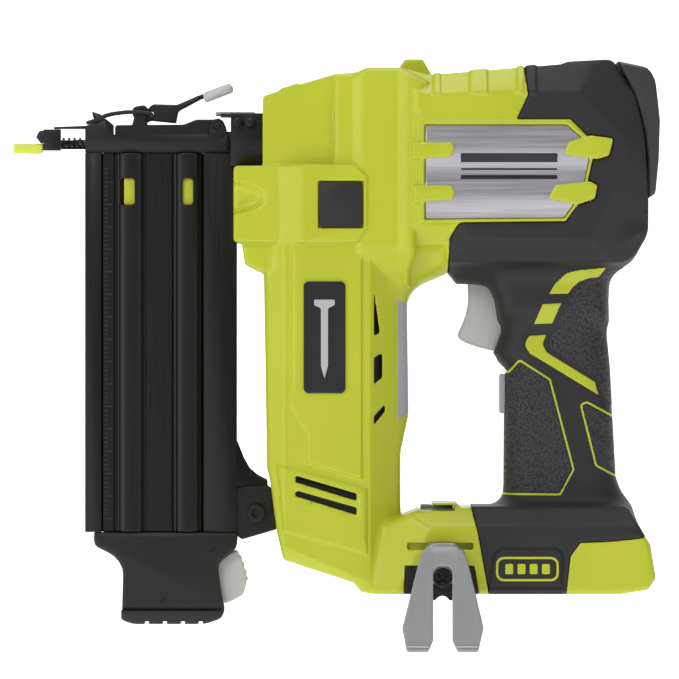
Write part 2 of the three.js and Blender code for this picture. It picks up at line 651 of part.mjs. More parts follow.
// The latch wire: from one side of the lever forward, across in front of the hook, and back.
function latchBail() {
  const side = 8.7;
  const half = [
    [BAIL_PIVOT.x, 3.4, BAIL_PIVOT.z], [BAIL_PIVOT.x, 6.5, BAIL_PIVOT.z], [BAIL_PIVOT.x, 8, BAIL_PIVOT.z],
    [-157.5, side, 213.7], [-165, side, 214.4], [-170, side, 214], [-176, side, 212.9], [-181, side, 210.6],
    [-183.6, 8, 209.8], [-184.4, 6.5, 209.6],
  ];
  const mirrored = half.map(([x, y, z]) => [x, -y, z]).reverse();
  return wire([...half, [-184.4, 0, 209.6], ...mirrored], 0.8, 36);
}

function contactArm() {
  const head = block([-204, -196.5], [-6, 6], [197.2, 206.5]);
  const claws = [-1, 1].map((side) => {
    const claw = [[-203.5, 200.5], [-203.5, 206], [-206, 206, 1], [-207.4, 203], [-205.5, 200.5]];
    return side < 0 ? slab(claw, -5.5, -3) : slab(claw, 3, 5.5);
  });
  const cross = block([-204, -199], [5, 12.8], [198, 202]);
  const bar = block([-200, -119], [10.8, 12.8], [198, 202]);
  const way = block([-205, -196], [-1.9, 1.9], [203.9, 206.1]);
  return cut(join(head, cross, bar, ...claws), way);
}

function contactPad() {
  const outline = [
    [-217.5, 196, 0.5], [-217.5, 200, 0.5], [-209, 200.2], [-204.3, 200.2], [-204.3, 196.4, 1],
    [-206, 195.6, 1],
  ];
  return plate(outline, 5, { edge: 0.5 });
}

// A short helical spring around the stub in front of the nose.
function contactSpring() {
  const [from, to] = [-195.9, -186.1];
  const turns = 4;
  const points = [];
  for (let i = 0; i <= turns * 8; i++) {
    const angle = (i * Math.PI) / 4;
    const x = from + ((to - from) * i) / (turns * 8);
    points.push([x, 1.9 * Math.cos(angle), 200.9 + 1.9 * Math.sin(angle)]);
  }
  return wire(points, 0.35, turns * 10);
}

// A thumb wheel with a grooved rim, on its own centre, turned about the X axis.
function depthWheel() {
  const notch = 0.6;
  const rim = circle(WHEEL.radius, 24).map((p, i) => p.setLength(WHEEL.radius - (i % 4 > 1 ? notch : 0)));
  return prism(rim, -2.3, 2.3, [circle(1.35, 12).reverse()]);
}

// ---- Magazine ----
function magazineBody() {
  const { left, right, low, high, back, front } = MAGAZINE;
  const base = block([left, right], [0.8, back], [low, high]);
  const leftStrip = block([left, COVER.left - 0.5], [front, 1], [low, high]);
  const rightStrip = block([COVER.right + 0.5, right], [front, 1], [low, high]);
  const nailBack = block([NAILS.left, NAILS.right], [-NAILS.half, 2], [low - 1, high + 1]);
  const web = slab([
    [-119, 69], [-117.9, 68], [-112.5, 54.5, 6], [-104.4, 50.3], [-104, 46.8], [-119, 45.6],
  ], -3, 3);
  const ribs = [-176, -156, -136].map((x) => block([x - 3, x + 3], [back - 1, back + 1.5], [low, high]));
  return join(cut(join(base, leftStrip, rightStrip, ...ribs), nailBack.intersect(base)), web);
}

function magazineCover() {
  const { left, right, inner, face, ribFace } = COVER;
  const { low, high } = MAGAZINE;
  const panel = block([left, right], [face, inner], [low, high]);
  const ribs = RIBS.map((rib) => block([rib.left, rib.right], [ribFace, inner], [low, high]));
  const ways = RIBS.map((rib) =>
    block([rib.left + RIB_WALL, rib.right - RIB_WALL], [ribFace + 1.5, 0], [low - 1, high + 1]));
  const groove = block([-172.4, -171], [face - 1, face + 1.2], [low - 1, high + 1]);
  const windows = RIBS.map((rib) =>
    block([rib.left + 3, rib.right - 3], [ribFace - 1, ribFace + 2], [173, 184.5]));
  return cut(join(panel, ...ribs), ...ways, ...windows, groove);
}

function pusher() {
  const web = block([-174.5, -134.5], [-0.5, 0.5], [150, 188]);
  const legs = RIBS.map((rib) =>
    block([rib.left + RIB_WALL + 0.4, rib.right - RIB_WALL - 0.4], [COVER.ribFace + 2, 0.5], [152, 187]));
  return join(web, ...legs);
}

function magazineGrip() {
  const outline = [
    [-181.5, 26.7], [-181.5, 21, 2], [-172.5, 16.5, 3], [-168.5, 11, 3], [-169, -7.6], [-123.4, -7.6],
    [-126, 9], [-126, 13, 2], [-118, 19.5, 2], [-117.5, 26.7],
  ];
  const latchRoom = block([-131.5, -110], [-5.4, 5.4], [-12, 20.5]);
  return cut(slab(outline, -10.5, 9.5, { edge: 1.5 }), latchRoom);
}

function gripPad() {
  const outline = [
    [-169.4, -7.9], [-169.4, -12, 1], [-164.5, -14, 2], [-132, -14, 2], [-124.5, -11.5, 2], [-123.4, -7.9],
  ];
  const grooves = [-158, -150, -142, -134].map((x) => block([x - 1, x + 1], [-20, 20], [-15, -12.8]));
  return cut(slab(outline, -10.5, 9.5, { edge: 1 }), ...grooves);
}

function magazineLatch() {
  const outline = [
    [-124.8, 14, 1], [-122.5, 17.2, 2], [-117.8, 19, 1], [-115.5, 14], [-113.5, 8, 2], [-113.5, 4, 2],
    [-115, -1, 2], [-122, -4.8, 1.5], [-126, 8, 3],
  ];
  return plate(outline, 5, { edge: 0.8 });
}

function magazineBracket() {
  const outline = [
    [-117.5, 41], [-102.9, 45.6, 2], [-100.6, 28.4, 2], [-115.5, 23.4, 2], [-117.5, 26.5],
  ];
  return cut(plate(outline, 6), rod("y", [-109, -8, 35.5], 2.4, 16, 12));
}

function bracketBolt() {
  return join(rod("y", [-109, -9.3, 35.5], 4, 3, 6), rod("y", [-109, -7, 35.5], 2.1, 14, 12));
}

function noseBolt() {
  return join(rod("y", [0, -16.6, 0], 2.2, 2.4, 6), rod("y", [0, -15, 0], 1.2, 1, 10));
}

// ---- Assembly ----
const nailer = new THREE.Group();

function add(name, shape, colour, position = [0, 0, 0], turn = {}) {
  const mesh = shape.getMesh();
  const geometry = new THREE.BufferGeometry();
  geometry.setAttribute("position", new THREE.BufferAttribute(mesh.vertProperties, 3));
  geometry.setIndex(new THREE.BufferAttribute(mesh.triVerts, 1));
  geometry.computeVertexNormals();
  const [color, roughness, metalness] = COLOURS[colour];
  const piece = new THREE.Mesh(geometry, new THREE.MeshStandardMaterial({ color, roughness, metalness }));
  piece.name = name;
  piece.position.set(...position);
  Object.assign(piece.rotation, turn);
  nailer.add(piece);
}

const { lime, dark } = housingShells();
add("left_housing", lime.intersect(leftSide()), "lime");
add("right_housing", lime.intersect(rightSide()), "lime");
add("left_grip_cover", dark.intersect(leftSide()), "dark");
add("right_grip_cover", dark.intersect(rightSide()), "dark");
add("rear_cap", rearCap(), "dark");
add("pressure_dial", pressureDial(), "black");
add("left_cylinder_panel", cylinderPanel(-1), "panel");
add("right_cylinder_panel", cylinderPanel(1), "panel");
add("left_side_plug", sidePlug(-1), "dark");
add("right_side_plug", sidePlug(1), "dark");
add("name_plate", namePlate(), "black");
add("work_light_lens", block(LENS.x, LENS.y, LENS.z), "lens");
add("battery_socket", batterySocket(), "black");
add("terminal_block", terminalBlock(), "copper");
add("belt_hook", beltHook(), "steel");
add("hook_screw", hookScrew(), "steel");
SCREWS.forEach((screw, i) => add(`housing_screw_${i + 1}`, housingScrew(screw), "steel"));
add("circuit_board", circuitBoard(), "board");
add("trigger_switch", triggerSwitch(), "black");
add("switch_plunger", switchPlunger(), "grey");
add("trigger", trigger(), "grey");
add("trigger_pin", triggerPin(), "steel");
add("motor_can", motorCan(), "steel");
add("rotor", rotor(), "copper", [MOTOR_X, 0, 0]);
add("ring_gear", ringGear(), "steel", [MOTOR_X, 0, 0]);
for (let i = 0; i < PLANETS; i++) {
  const angle = (2 * Math.PI * i) / PLANETS;
  const place = [MOTOR_X + CARRIER_RADIUS * Math.cos(angle), CARRIER_RADIUS * Math.sin(angle), 0];
  add(`planet_gear_${i + 1}`, planetGear(), "steel", place, { z: angle });
}
add("crank", crank(), "steel", [MOTOR_X, 0, 0]);
add("connecting_rod", connectingRod(), "aluminium");
add("compressor_cylinder", compressorCylinder(), "aluminium");
add("compressor_piston", compressorPiston(), "aluminium");
add("drive_cylinder", driveCylinder(), "aluminium");
add("drive_piston", drivePiston(), "aluminium");
add("driver_blade", driverBlade(), "steel");
add("drive_bumper", driveBumper(), "rubber");
add("nose_casting", noseCasting(), "aluminium");
add("nose_base", noseBase(), "black");
add("nose_door", noseDoor(), "black");
add("door_pin", doorPin(), "steel");
add("latch_lever", latchLever(), "black");
add("latch_tip", latchTip(), "grey");
add("latch_bail", latchBail(), "steel");
add("contact_arm", contactArm(), "black");
add("contact_pad", contactPad(), "pad");
add("contact_spring", contactSpring(), "steel");
add("depth_wheel", depthWheel(), "black", [WHEEL.x, WHEEL.y, WHEEL.z], { y: Math.PI / 2 });
add("magazine_body", magazineBody(), "black");
add("magazine_cover", magazineCover(), "black");
add("pusher", pusher(), "lime");
add("magazine_grip", magazineGrip(), "dark");
add("grip_pad", gripPad(), "rubber");
add("magazine_latch", magazineLatch(), "grey");
add("magazine_bracket", magazineBracket(), "black");
add("bracket_bolt", bracketBolt(), "steel");
[-117.6, -111.8].forEach((x, i) => add(`nose_bolt_${i + 1}`, noseBolt(), "steel", [x, 0, 209.5]));

export default nailer;
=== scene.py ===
"""Looks of a cordless brad nailer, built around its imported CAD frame.

Shapes are worked out in millimetres, in the frame's own axes: X runs to the rear of the tool,
Z is up, and the left side, which the camera sees, is at negative Y.
"""

import math

import bpy
import numpy as np
import openvdb
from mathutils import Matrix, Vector


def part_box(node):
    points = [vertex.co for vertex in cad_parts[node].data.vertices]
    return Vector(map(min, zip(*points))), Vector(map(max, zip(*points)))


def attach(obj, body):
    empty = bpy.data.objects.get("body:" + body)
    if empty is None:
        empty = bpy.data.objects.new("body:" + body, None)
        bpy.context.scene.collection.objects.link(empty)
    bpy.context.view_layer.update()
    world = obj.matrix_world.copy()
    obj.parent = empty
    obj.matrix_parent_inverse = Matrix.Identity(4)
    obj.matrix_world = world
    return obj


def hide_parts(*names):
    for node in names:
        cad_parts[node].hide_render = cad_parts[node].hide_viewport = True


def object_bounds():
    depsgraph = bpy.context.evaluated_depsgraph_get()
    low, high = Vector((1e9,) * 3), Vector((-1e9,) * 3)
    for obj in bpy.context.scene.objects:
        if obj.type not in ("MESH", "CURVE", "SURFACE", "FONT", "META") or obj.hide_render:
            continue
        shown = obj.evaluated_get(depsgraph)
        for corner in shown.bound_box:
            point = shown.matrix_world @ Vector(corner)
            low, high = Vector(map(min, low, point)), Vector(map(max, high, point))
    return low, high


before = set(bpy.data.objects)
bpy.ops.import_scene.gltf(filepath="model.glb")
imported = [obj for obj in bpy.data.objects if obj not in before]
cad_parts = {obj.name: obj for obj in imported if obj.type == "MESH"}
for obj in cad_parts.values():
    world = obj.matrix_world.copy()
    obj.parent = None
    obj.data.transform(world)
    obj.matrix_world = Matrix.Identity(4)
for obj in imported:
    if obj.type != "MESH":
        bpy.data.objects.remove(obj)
CAD_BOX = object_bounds()
MM = 0.001
SQRT_HALF = math.sqrt(0.5)

# ---- Outlines, as (x, z) or (x, z, corner radius) ----
TOP = [
    (-46.5, 156), (-46.5, 232), (-44, 233), (-32, 230), (9, 233.4), (26, 234.8), (29, 236),
    (49, 237.2, 5), (58.8, 222, 14), (62.9, 204), (64.9, 178), (65, 160, 14), (56, 147, 10),
    (-24, 147), (-24, 156),
]
SIDE_FLAT = [
    (-300, 158), (-20, 158), (38.5, 157), (49, 179.6), (54.5, 202.6), (34, 221.8), (-300, 221.8),
]
HUMP = [(-49, 226), (-46.5, 232.5), (-43, 237.6, 1), (-35, 237.6, 1), (-31, 230.5), (-31, 224)]
FRONT = [
    (-106.2, 157), (-106.2, 220.5, 1.5), (-99, 223), (-98.4, 224), (-90.5, 226.5), (-90, 225.8),
    (-74, 230.5, 3), (-65, 231), (-60, 233.2), (-46, 233.2, 2), (-32.5, 226.5), (-38.5, 220.5),
    (-38.5, 150), (-41, 143), (-41, 136), (-62, 136), (-66, 157),
]
FRONT_PANEL = [(-120, 140), (-120, 240), (-74.4, 240), (-74.4, 140)]
BLOCK = [
    (-80, 148), (-106, 142), (-114, 146, 2), (-115.5, 155.5), (-119, 156.5, 1.5),
    (-119, 189.5, 1.5), (-80, 189.5),
]
BOX = [
    (-119, 156, 1.5), (-119, 189.8, 1.5), (-76, 190.2), (-65, 190.2), (-59.8, 185), (-59.8, 163),
    (-63.5, 156), (-76, 155.5),
]
NECK = [
    (-50, 134.5), (-42.3, 134.5), (-26, 141.3), (-24, 142.8), (-20, 137.6), (-5, 137),
    (-1.5, 131.5), (0, 122), (45.8, 122), (46.5, 139, 8), (57, 149, 6), (60, 160), (-50, 160),
]
COLUMN = [
    (-106, 160), (-105, 103), (-104.3, 56), (-103, 51), (-100, 28), (-97, 15, 2), (-65.5, 4.8, 3),
    (-62, 1, 3), (-38, 1), (-38, 33), (-45, 34, 3), (-45, 62.5), (-41.5, 79), (-42.3, 134),
    (-42.3, 160),
]
COLUMN_PAD = [
    (-93.5, 156), (-93.5, 84, 4), (-86.5, 72, 4), (-86.5, 58.5), (-62.2, 51), (-62.2, 156),
]
VENT_PAD = [(-99.5, 57), (-60, 46.5), (-60, 18), (-96.5, 28)]
FOOT = [
    (-66, 7), (-62.5, 1.2), (-57, 0), (52, 0), (64.5, 2, 2), (68, 7, 3), (65.5, 22), (55.5, 39, 4),
    (-13, 39), (-15, 38.3), (-18.5, 38.3), (-20, 40.4), (-30, 40.4), (-38.5, 37), (-45.5, 34),
    (-62, 28),
]
HANDLE = [
    (1, 20), (1.5, 97), (2.5, 99), (-1, 102.5), (-3.8, 106.8), (0.5, 118.5), (-1.5, 131),
    (-4.5, 140), (-4.5, 152), (46.5, 152), (45.5, 130), (48.5, 100), (50, 70), (51, 52), (56, 38),
    (56, 20),
]
DARK = [
    (9.5, 250), (9.8, 233), (11.5, 221), (6.5, 210.5), (30, 210.5), (38, 202.5), (40, 192.5),
    (37.5, 181.5), (33.5, 172.5), (28, 165), (-19, 164.5, 3), (-23, 158, 3), (-23.8, 143),
    (-26, 136), (-16, 104), (-16, 45), (-14, 40), (-11, 28.5), (-5, -5), (27.5, -5), (30, 17),
    (34.5, 23), (47.5, 23.5), (57.5, 24.5), (90, 29), (90, 250),
]
PANEL = [
    (-34.5, 208), (28.5, 208, 2), (36.3, 201, 2), (38.6, 192.5, 1), (36.3, 181.5), (32, 173),
    (27.5, 166.3, 2), (-34.5, 165.8),
]
LEFT_TABS = [
    [(-40, 200.2), (-22.5, 200, 1), (-21.3, 198, 1), (-22.3, 193.6, 1), (-40, 192.4)],
    [(-39.5, 181.2), (-22.5, 181, 1), (-21, 178, 1), (-22.3, 174.6, 1), (-39.5, 173.4)],
]
RIGHT_TABS = [
    [(29, 200.2, 1), (39, 203.2, 1), (49.2, 201.8, 1), (47.3, 194, 1.5), (42, 192.4, 1), (27.2, 194.6, 1)],
    [(23.5, 181.2, 1), (39, 182.8, 1), (42.2, 181, 1), (41, 175, 1.5), (33.5, 172.3, 1), (20, 175, 1)],
]
STRIPES = [
    [
        (21, 133), (23.5, 137.5), (26.5, 140.5), (29, 142.5), (34.5, 143.7), (46.5, 144.8),
        (43, 140.5), (39, 140), (34.5, 138.5), (31.5, 136), (29.5, 133.2),
    ],
    [(18.2, 128.6), (26.5, 129), (22.5, 119.8), (14.2, 119.6)],
    [
        (12.2, 114.6, 1), (20, 115), (18.3, 110.8, 2), (20, 107.3, 2), (41.5, 94), (43.2, 88),
        (12.4, 106.6, 3), (10, 110.5, 3),
    ],
]
FRONT_LINE = [(-4, 98), (3.5, 98.5), (8, 103.6, 1), (21.5, 95, 1), (32, 55, 1), (26, 43.8, 1), (-4, 44.2)]
REAR_LINE = [(56, 76), (49, 79), (37.5, 85.2, 2), (35.3, 83.5, 1), (42, 56.8, 1), (50.5, 52.2), (56, 50)]
UPPER_GRIP = [
    (60, 146), (47, 144), (43, 139.5), (39, 139), (35.5, 137.6), (32.8, 135.6), (30.5, 132),
    (21, 112.5), (20.5, 109.5, 2), (42, 95.8), (45.5, 85), (60, 78),
]
SIDE_VENTS = [
    [(-56.8, 134), (-54.3, 115.8), (-56.8, 114.6)],
    [(-56.8, 104.8), (-53.2, 106.8), (-53.2, 96), (-56.8, 93)],
    [(-56.8, 78.8), (-52, 84), (-52, 81), (-56.8, 75)],
]
LOW_SLOTS = [
    [(-91.5, 52.5), (-64.5, 44.5), (-64.5, 41.3), (-91.5, 49.6)],
    [(-91.5, 46), (-64.5, 38.3), (-64.5, 35), (-91.5, 43.4)],
]
HOOK = [
    (-42.5, -25, 1), (-44.5, -14.5, 1), (-37.4, 14), (-35.4, 20, 3), (-30.3, 22.9, 3),
    (-22.9, 22.9, 3), (-17.3, 20, 3), (-15.3, 14), (-8.5, -14.5, 1), (-11, -25, 1), (-20, -25, 1),
    (-22.4, -20, 1), (-22.4, 13, 3), (-30.8, 13, 3), (-30.8, -20, 1), (-33, -25, 1),
]
HOOK_SEAT = [(-43, 12.8), (-44, -4), (-9.5, -4), (-12.5, 12.8)]
BADGE_PAD = [(-6, 3), (-3.5, 18, 3), (0, 20.5, 2), (24.5, 20.5, 2), (27, 18, 3), (26.5, 3)]
BADGE = [(-3, 5.8, 3.6), (25, 5.8, 3.6), (25, 16.8, 3.6), (-3, 16.8, 3.6)]


# ---- Shapes as distances ----
def rounded(corners):
    """An outline's points, with an arc in place of each corner that has a radius."""
    points = []
    for i, corner in enumerate(corners):
        here = np.array(corner[:2], float)
        if len(corner) < 3:
            points.append(tuple(here))
            continue
        before = np.array(corners[i - 1][:2], float) - here
        after = np.array(corners[(i + 1) % len(corners)][:2], float) - here
        before_length, after_length = np.linalg.norm(before), np.linalg.norm(after)
        before, after = before / before_length, after / after_length
        half_angle = math.acos(np.clip(before @ after, -1, 1)) / 2
        reach = min(corner[2] / math.tan(half_angle), before_length * 0.48, after_length * 0.48)
        radius = reach * math.tan(half_angle)
        middle = here + (before + after) / np.linalg.norm(before + after) * radius / math.sin(half_angle)
        start, end = here + before * reach - middle, here + after * reach - middle
        turn = math.pi - 2 * half_angle
        for step in range(6):
            share = step / 5
            weight = np.array([math.sin((1 - share) * turn), math.sin(share * turn)]) / math.sin(turn)
            points.append(tuple(middle + weight[0] * start + weight[1] * end))
    return points


class Space:
    """A block of sample points. A shape in it is an array of distances to its surface, negative inside."""

    def __init__(self, low, high, cell):
        self.low = np.array(low, float)
        self.cell = cell
        axes = [np.arange(a, b + cell, cell, dtype=np.float32) for a, b in zip(low, high)]
        self.x = axes[0][:, None, None]
        self.y = axes[1][None, :, None]
        self.z = axes[2][None, None, :]

    def inside(self, corners):
        """Distance in the XZ plane to a closed outline."""
        points = rounded(corners)
        nearest, within = self._edges(zip(points, points[1:] + points[:1]))
        return np.where(within, -nearest, nearest)[:, None, :]

    def along(self, corners):
        """Distance in the XZ plane to an open line."""
        points = rounded(corners)
        return self._edges(zip(points, points[1:]))[0][:, None, :]

    def _edges(self, edges):
        x, z = self.x[:, 0], self.z[0]
        nearest = np.full((x.shape[0], z.shape[1]), 1e9, np.float32)
        within = np.zeros(nearest.shape, bool)
        for (start_x, start_z), (end_x, end_z) in edges:
            run_x, run_z = end_x - start_x, end_z - start_z
            share = ((x - start_x) * run_x + (z - start_z) * run_z) / (run_x**2 + run_z**2 + 1e-9)
            share = np.clip(share, 0, 1)
            away = (x - start_x - share * run_x) ** 2 + (z - start_z - share * run_z) ** 2
            nearest = np.minimum(nearest, away)
            crossing = (start_z > z) != (end_z > z)
            within ^= crossing & (x < start_x + (z - start_z) * run_x / (run_z or 1e-9))
        return np.sqrt(nearest), within

    def slab(self, flat, low, high, edge=0.0):
        """An outline stretched along Y between two depths, with rounded edges."""
        side = np.abs(self.y - (low + high) / 2) - (high - low) / 2
        return corner(flat, side, edge)

    def box(self, x, y, z, edge=0.0):
        """A box with rounded edges."""
        sides = [
            np.abs(place - (a + b) / 2) - (b - a) / 2 + edge
            for place, (a, b) in ((self.x, x), (self.y, y), (self.z, z))
        ]
        outer = np.sqrt(sum(np.maximum(side, 0) ** 2 for side in sides))
        return outer + np.minimum(join(*sides, low=False), 0) - edge

    def rod(self, axis, middle, radius, low, high, edge=0.0):
        """A cylinder along one axis."""
        places = {"x": self.x, "y": self.y, "z": self.z}
        along = places.pop(axis)
        (a, b), (middle_a, middle_b) = places.values(), middle
        flat = np.hypot(a - middle_a, b - middle_b) - radius
        return corner(flat, np.abs(along - (low + high) / 2) - (high - low) / 2, edge)


def corner(a, b, radius=0.0):
    """The space inside both a and b, with the edge between them rounded."""
    a, b = a + radius, b + radius
    return np.minimum(np.maximum(a, b), 0) + np.hypot(np.maximum(a, 0), np.maximum(b, 0)) - radius


def join(*shapes, soft=0.0, low=True):
    """The union of shapes, with a fillet of about the size of soft. With low=False, their overlap."""
    made = shapes[0]
    for shape in shapes[1:]:
        if not low:
            made = np.maximum(made, shape)
        elif soft:
            blend = np.maximum(soft - np.abs(made - shape), 0) / soft
            made = np.minimum(made, shape) - blend**2 * soft / 4
        else:
            made = np.minimum(made, shape)
    return made


def cut(shape, *tools, soft=0.0):
    """A shape less the tools, with an edge softened by about the size of soft."""
    for tool in tools:
        shape = -join(-shape, tool, soft=soft)
    return shape


def ramp(values, start, end):
    """0 before start, 1 after end, and a straight rise between them."""
    return np.clip((values - start) / (end - start), 0, 1)


def sloped(flat, side, width, drop):
    """A facet that starts width inside the outline and falls drop by its edge."""
    return (side * width + drop * (flat + width)) / math.hypot(width, drop)


# ---- Meshes from shapes ----
def sample(field, places):
    """Values of a field at fractional index places."""
    top = np.array(field.shape) - 2
    whole = np.clip(np.floor(places).astype(int), 0, top)
    part = places - whole
    total = 0
    for i in (0, 1):
        for j in (0, 1):
            for k in (0, 1):
                weight = (
                    (part[:, 0] if i else 1 - part[:, 0])
                    * (part[:, 1] if j else 1 - part[:, 1])
                    * (part[:, 2] if k else 1 - part[:, 2])
                )
                total = total + weight * field[whole[:, 0] + i, whole[:, 1] + j, whole[:, 2] + k]
    return total


def mesh_of(name, space, field, mirror=False, detail=0.02):
    """A smooth object from a field. Its normals are the field's own slope."""
    reach = 3 * space.cell
    field = np.ascontiguousarray(np.clip(field, -reach, reach), dtype=np.float32)
    grid = openvdb.FloatGrid(reach)
    grid.copyFromArray(field)
    places, triangles, quads = grid.convertToPolygons(isovalue=0.0, adaptivity=detail)
    step = np.eye(3) * 0.6
    normals = np.stack([sample(field, places + d) - sample(field, places - d) for d in step], axis=1)
    normals /= np.linalg.norm(normals, axis=1)[:, None] + 1e-12
    points = (places * space.cell + space.low) * MM
    if mirror:
        points[:, 1] *= -1
        normals[:, 1] *= -1
        triangles, quads = triangles[:, ::-1], quads[:, ::-1]
    mesh = bpy.data.meshes.new(name)
    mesh.vertices.add(len(points))
    mesh.vertices.foreach_set("co", points.astype(np.float32).ravel())
    loops = np.concatenate([triangles.ravel(), quads.ravel()]).astype(np.int32)
    sizes = np.repeat([3, 4], [len(triangles), len(quads)])
    starts = np.concatenate([[0], np.cumsum(sizes)[:-1]]).astype(np.int32)
    mesh.loops.add(len(loops))
    mesh.loops.foreach_set("vertex_index", loops)
    mesh.polygons.add(len(sizes))
    mesh.polygons.foreach_set("loop_start", starts)
    mesh.update(calc_edges=True)
    mesh.polygons.foreach_set("use_smooth", np.ones(len(sizes), bool))
    mesh.normals_split_custom_set_from_vertices(normals)
    made = bpy.data.objects.new(name, mesh)
    bpy.context.scene.collection.objects.link(made)
    return made


# ---- Materials ----
def node(tree, kind, inputs=(), **settings):
    """A new node with its settings, and its inputs set to numbers or linked to sockets."""
    made = tree.nodes.new(kind)
    for key, value in settings.items():
        setattr(made, key, value)
    for key, value in dict(inputs).items():
        if isinstance(value, bpy.types.NodeSocket):
            tree.links.new(value, made.inputs[key])
        else:
            made.inputs[key].default_value = value
    return made


def texture_place(tree, scale=(1, 1, 1)):
    """The object's own coordinates, in metres, stretched by a scale."""
    place = node(tree, "ShaderNodeTexCoord").outputs["Object"]
    return node(tree, "ShaderNodeMapping", {"Vector": place, "Scale": scale}).outputs["Vector"]


def noise(tree, scale, detail=3.0, stretch=(1, 1, 1)):
    """Cloudy noise over the object, from 0 to 1."""
    inputs = {"Vector": texture_place(tree, stretch), "Scale": scale, "Detail": detail}
    return node(tree, "ShaderNodeTexNoise", inputs).outputs["Fac"]


def spread(tree, value, low, high, into=(0.0, 1.0)):
    """A value between low and high, stretched over another range."""
    inputs = {"Value": value, "From Min": low, "From Max": high, "To Min": into[0], "To Max": into[1]}
    return node(tree, "ShaderNodeMapRange", inputs).outputs["Result"]


def mixed(tree, share, first, second):
    """A colour between two colours."""
    made = node(tree, "ShaderNodeMix", data_type="RGBA")
    for key, value in ((0, share), (6, first), (7, second)):
        if isinstance(value, bpy.types.NodeSocket):
            tree.links.new(value, made.inputs[key])
        else:
            made.inputs[key].default_value = value
    return made.outputs[2]


def edge_share(tree, radius, strength):
    """Near 1 on sharp edges and 0 on flat faces."""
    soft = node(tree, "ShaderNodeBevel", {"Radius": radius}, samples=4).outputs["Normal"]
    true = node(tree, "ShaderNodeNewGeometry").outputs["Normal"]
    dot = node(tree, "ShaderNodeVectorMath", {0: soft, 1: true}, operation="DOT_PRODUCT").outputs["Value"]
    return spread(tree, dot, 1.0, 1.0 - strength)


def srgb(red, green, blue):
    """A colour given as 0 to 255 in the usual screen space."""
    linear = [((v / 255 + 0.055) / 1.055) ** 2.4 if v > 10 else v / 255 / 12.92 for v in (red, green, blue)]
    return (*linear, 1.0)


def tinted(colour, factor):
    """A colour made darker or lighter."""
    return tuple(min(v * factor, 1.0) for v in colour[:3]) + (1.0,)


def surface(name, metallic=0.0, **plain):
    """A new material, with its node tree and its shader."""
    made = bpy.data.materials.new(name)
    made.use_nodes = True
    tree = made.node_tree
    shader = tree.nodes["Principled BSDF"]
    shader.inputs["Metallic"].default_value = metallic
    for key, value in plain.items():
        shader.inputs[key.replace("_", " ")].default_value = value
    return made, tree, shader


def moulded(name, colour, roughness=0.42, grain=0.02, grain_scale=2600, wear=0.25, **plain):
    """Moulded plastic: fine grain, faint flow marks in its colour, edges worn a little lighter."""
    made, tree, shader = surface(name, **plain)
    flow = noise(tree, 28, 4.0, (1, 1, 0.4))
    speck = noise(tree, 900, 2.0)
    body = mixed(tree, spread(tree, flow, 0.3, 0.7), tinted(colour, 0.95), tinted(colour, 1.04))
    body = mixed(tree, spread(tree, speck, 0.35, 0.65, (0.0, 0.12)), body, tinted(colour, 0.8))
    edge = edge_share(tree, 0.0008, 0.5)
    patches = spread(tree, speck, 0.4, 0.6, (0.3, 1.0))
    worn = node(tree, "ShaderNodeMath", {0: edge, 1: patches}, operation="MULTIPLY")
    worn = spread(tree, worn.outputs[0], 0.0, 1.0, (0.0, wear))
    body = mixed(tree, worn, body, tinted(colour, 1.5))
    tree.links.new(body, shader.inputs["Base Color"])
    rough = spread(tree, flow, 0.25, 0.75, (roughness - 0.05, roughness + 0.06))
    tree.links.new(rough, shader.inputs["Roughness"])
    height = noise(tree, grain_scale, 2.0)
    bump = node(tree, "ShaderNodeBump", {"Height": height, "Strength": 0.35, "Distance": grain * MM})
    tree.links.new(bump.outputs["Normal"], shader.inputs["Normal"])
    return made


def textured_grip(name, colour):
    """Soft grip with a raised pebble pattern, painted darker in its hollows and lighter on its tops as
    painted shade and highlight.
    """
    made, tree, shader = surface(name)
    place = texture_place(tree)
    pebble = node(tree, "ShaderNodeTexVoronoi", {"Vector": place, "Scale": 1050.0}, feature="F1")
    height = spread(tree, pebble.outputs["Distance"], 0.15, 0.75, (1.0, 0.0))
    # Painted shade and highlight: the pebbles' hollows are painted darker and their tops lighter.
    body = mixed(tree, height, tinted(colour, 0.55), tinted(colour, 1.7))
    tree.links.new(body, shader.inputs["Base Color"])
    tree.links.new(spread(tree, height, 0, 1, (0.75, 0.42)), shader.inputs["Roughness"])
    bump = node(tree, "ShaderNodeBump", {"Height": height, "Strength": 0.9, "Distance": 0.25 * MM})
    tree.links.new(bump.outputs["Normal"], shader.inputs["Normal"])
    return made


def metal(
    name, colour, roughness=0.35, brushed=(1, 1, 1), depth=0.01, metallic=1.0, spots=0.15, **plain
):
    """Metal with fine scratches along the direction where brushed is smallest."""
    made, tree, shader = surface(name, metallic, **plain)
    scratch = noise(tree, 1500, 4.0, brushed)
    cloud = noise(tree, 60, 4.0)
    low, high = tinted(colour, 1 - spots), tinted(colour, 1 + spots)
    body = mixed(tree, spread(tree, scratch, 0.25, 0.75), low, high)
    body = mixed(tree, spread(tree, cloud, 0.3, 0.7, (0.0, 0.35)), body, tinted(colour, 0.85))
    edge = edge_share(tree, 0.0006, 0.5)
    body = mixed(tree, spread(tree, edge, 0, 1, (0, 0.5)), body, tinted(colour, 1.6))
    tree.links.new(body, shader.inputs["Base Color"])
    rough = spread(tree, scratch, 0.2, 0.8, (roughness - 0.07, roughness + 0.1))
    tree.links.new(rough, shader.inputs["Roughness"])
    bump = node(tree, "ShaderNodeBump", {"Height": scratch, "Strength": 0.4, "Distance": depth * MM})
    tree.links.new(bump.outputs["Normal"], shader.inputs["Normal"])
    return made


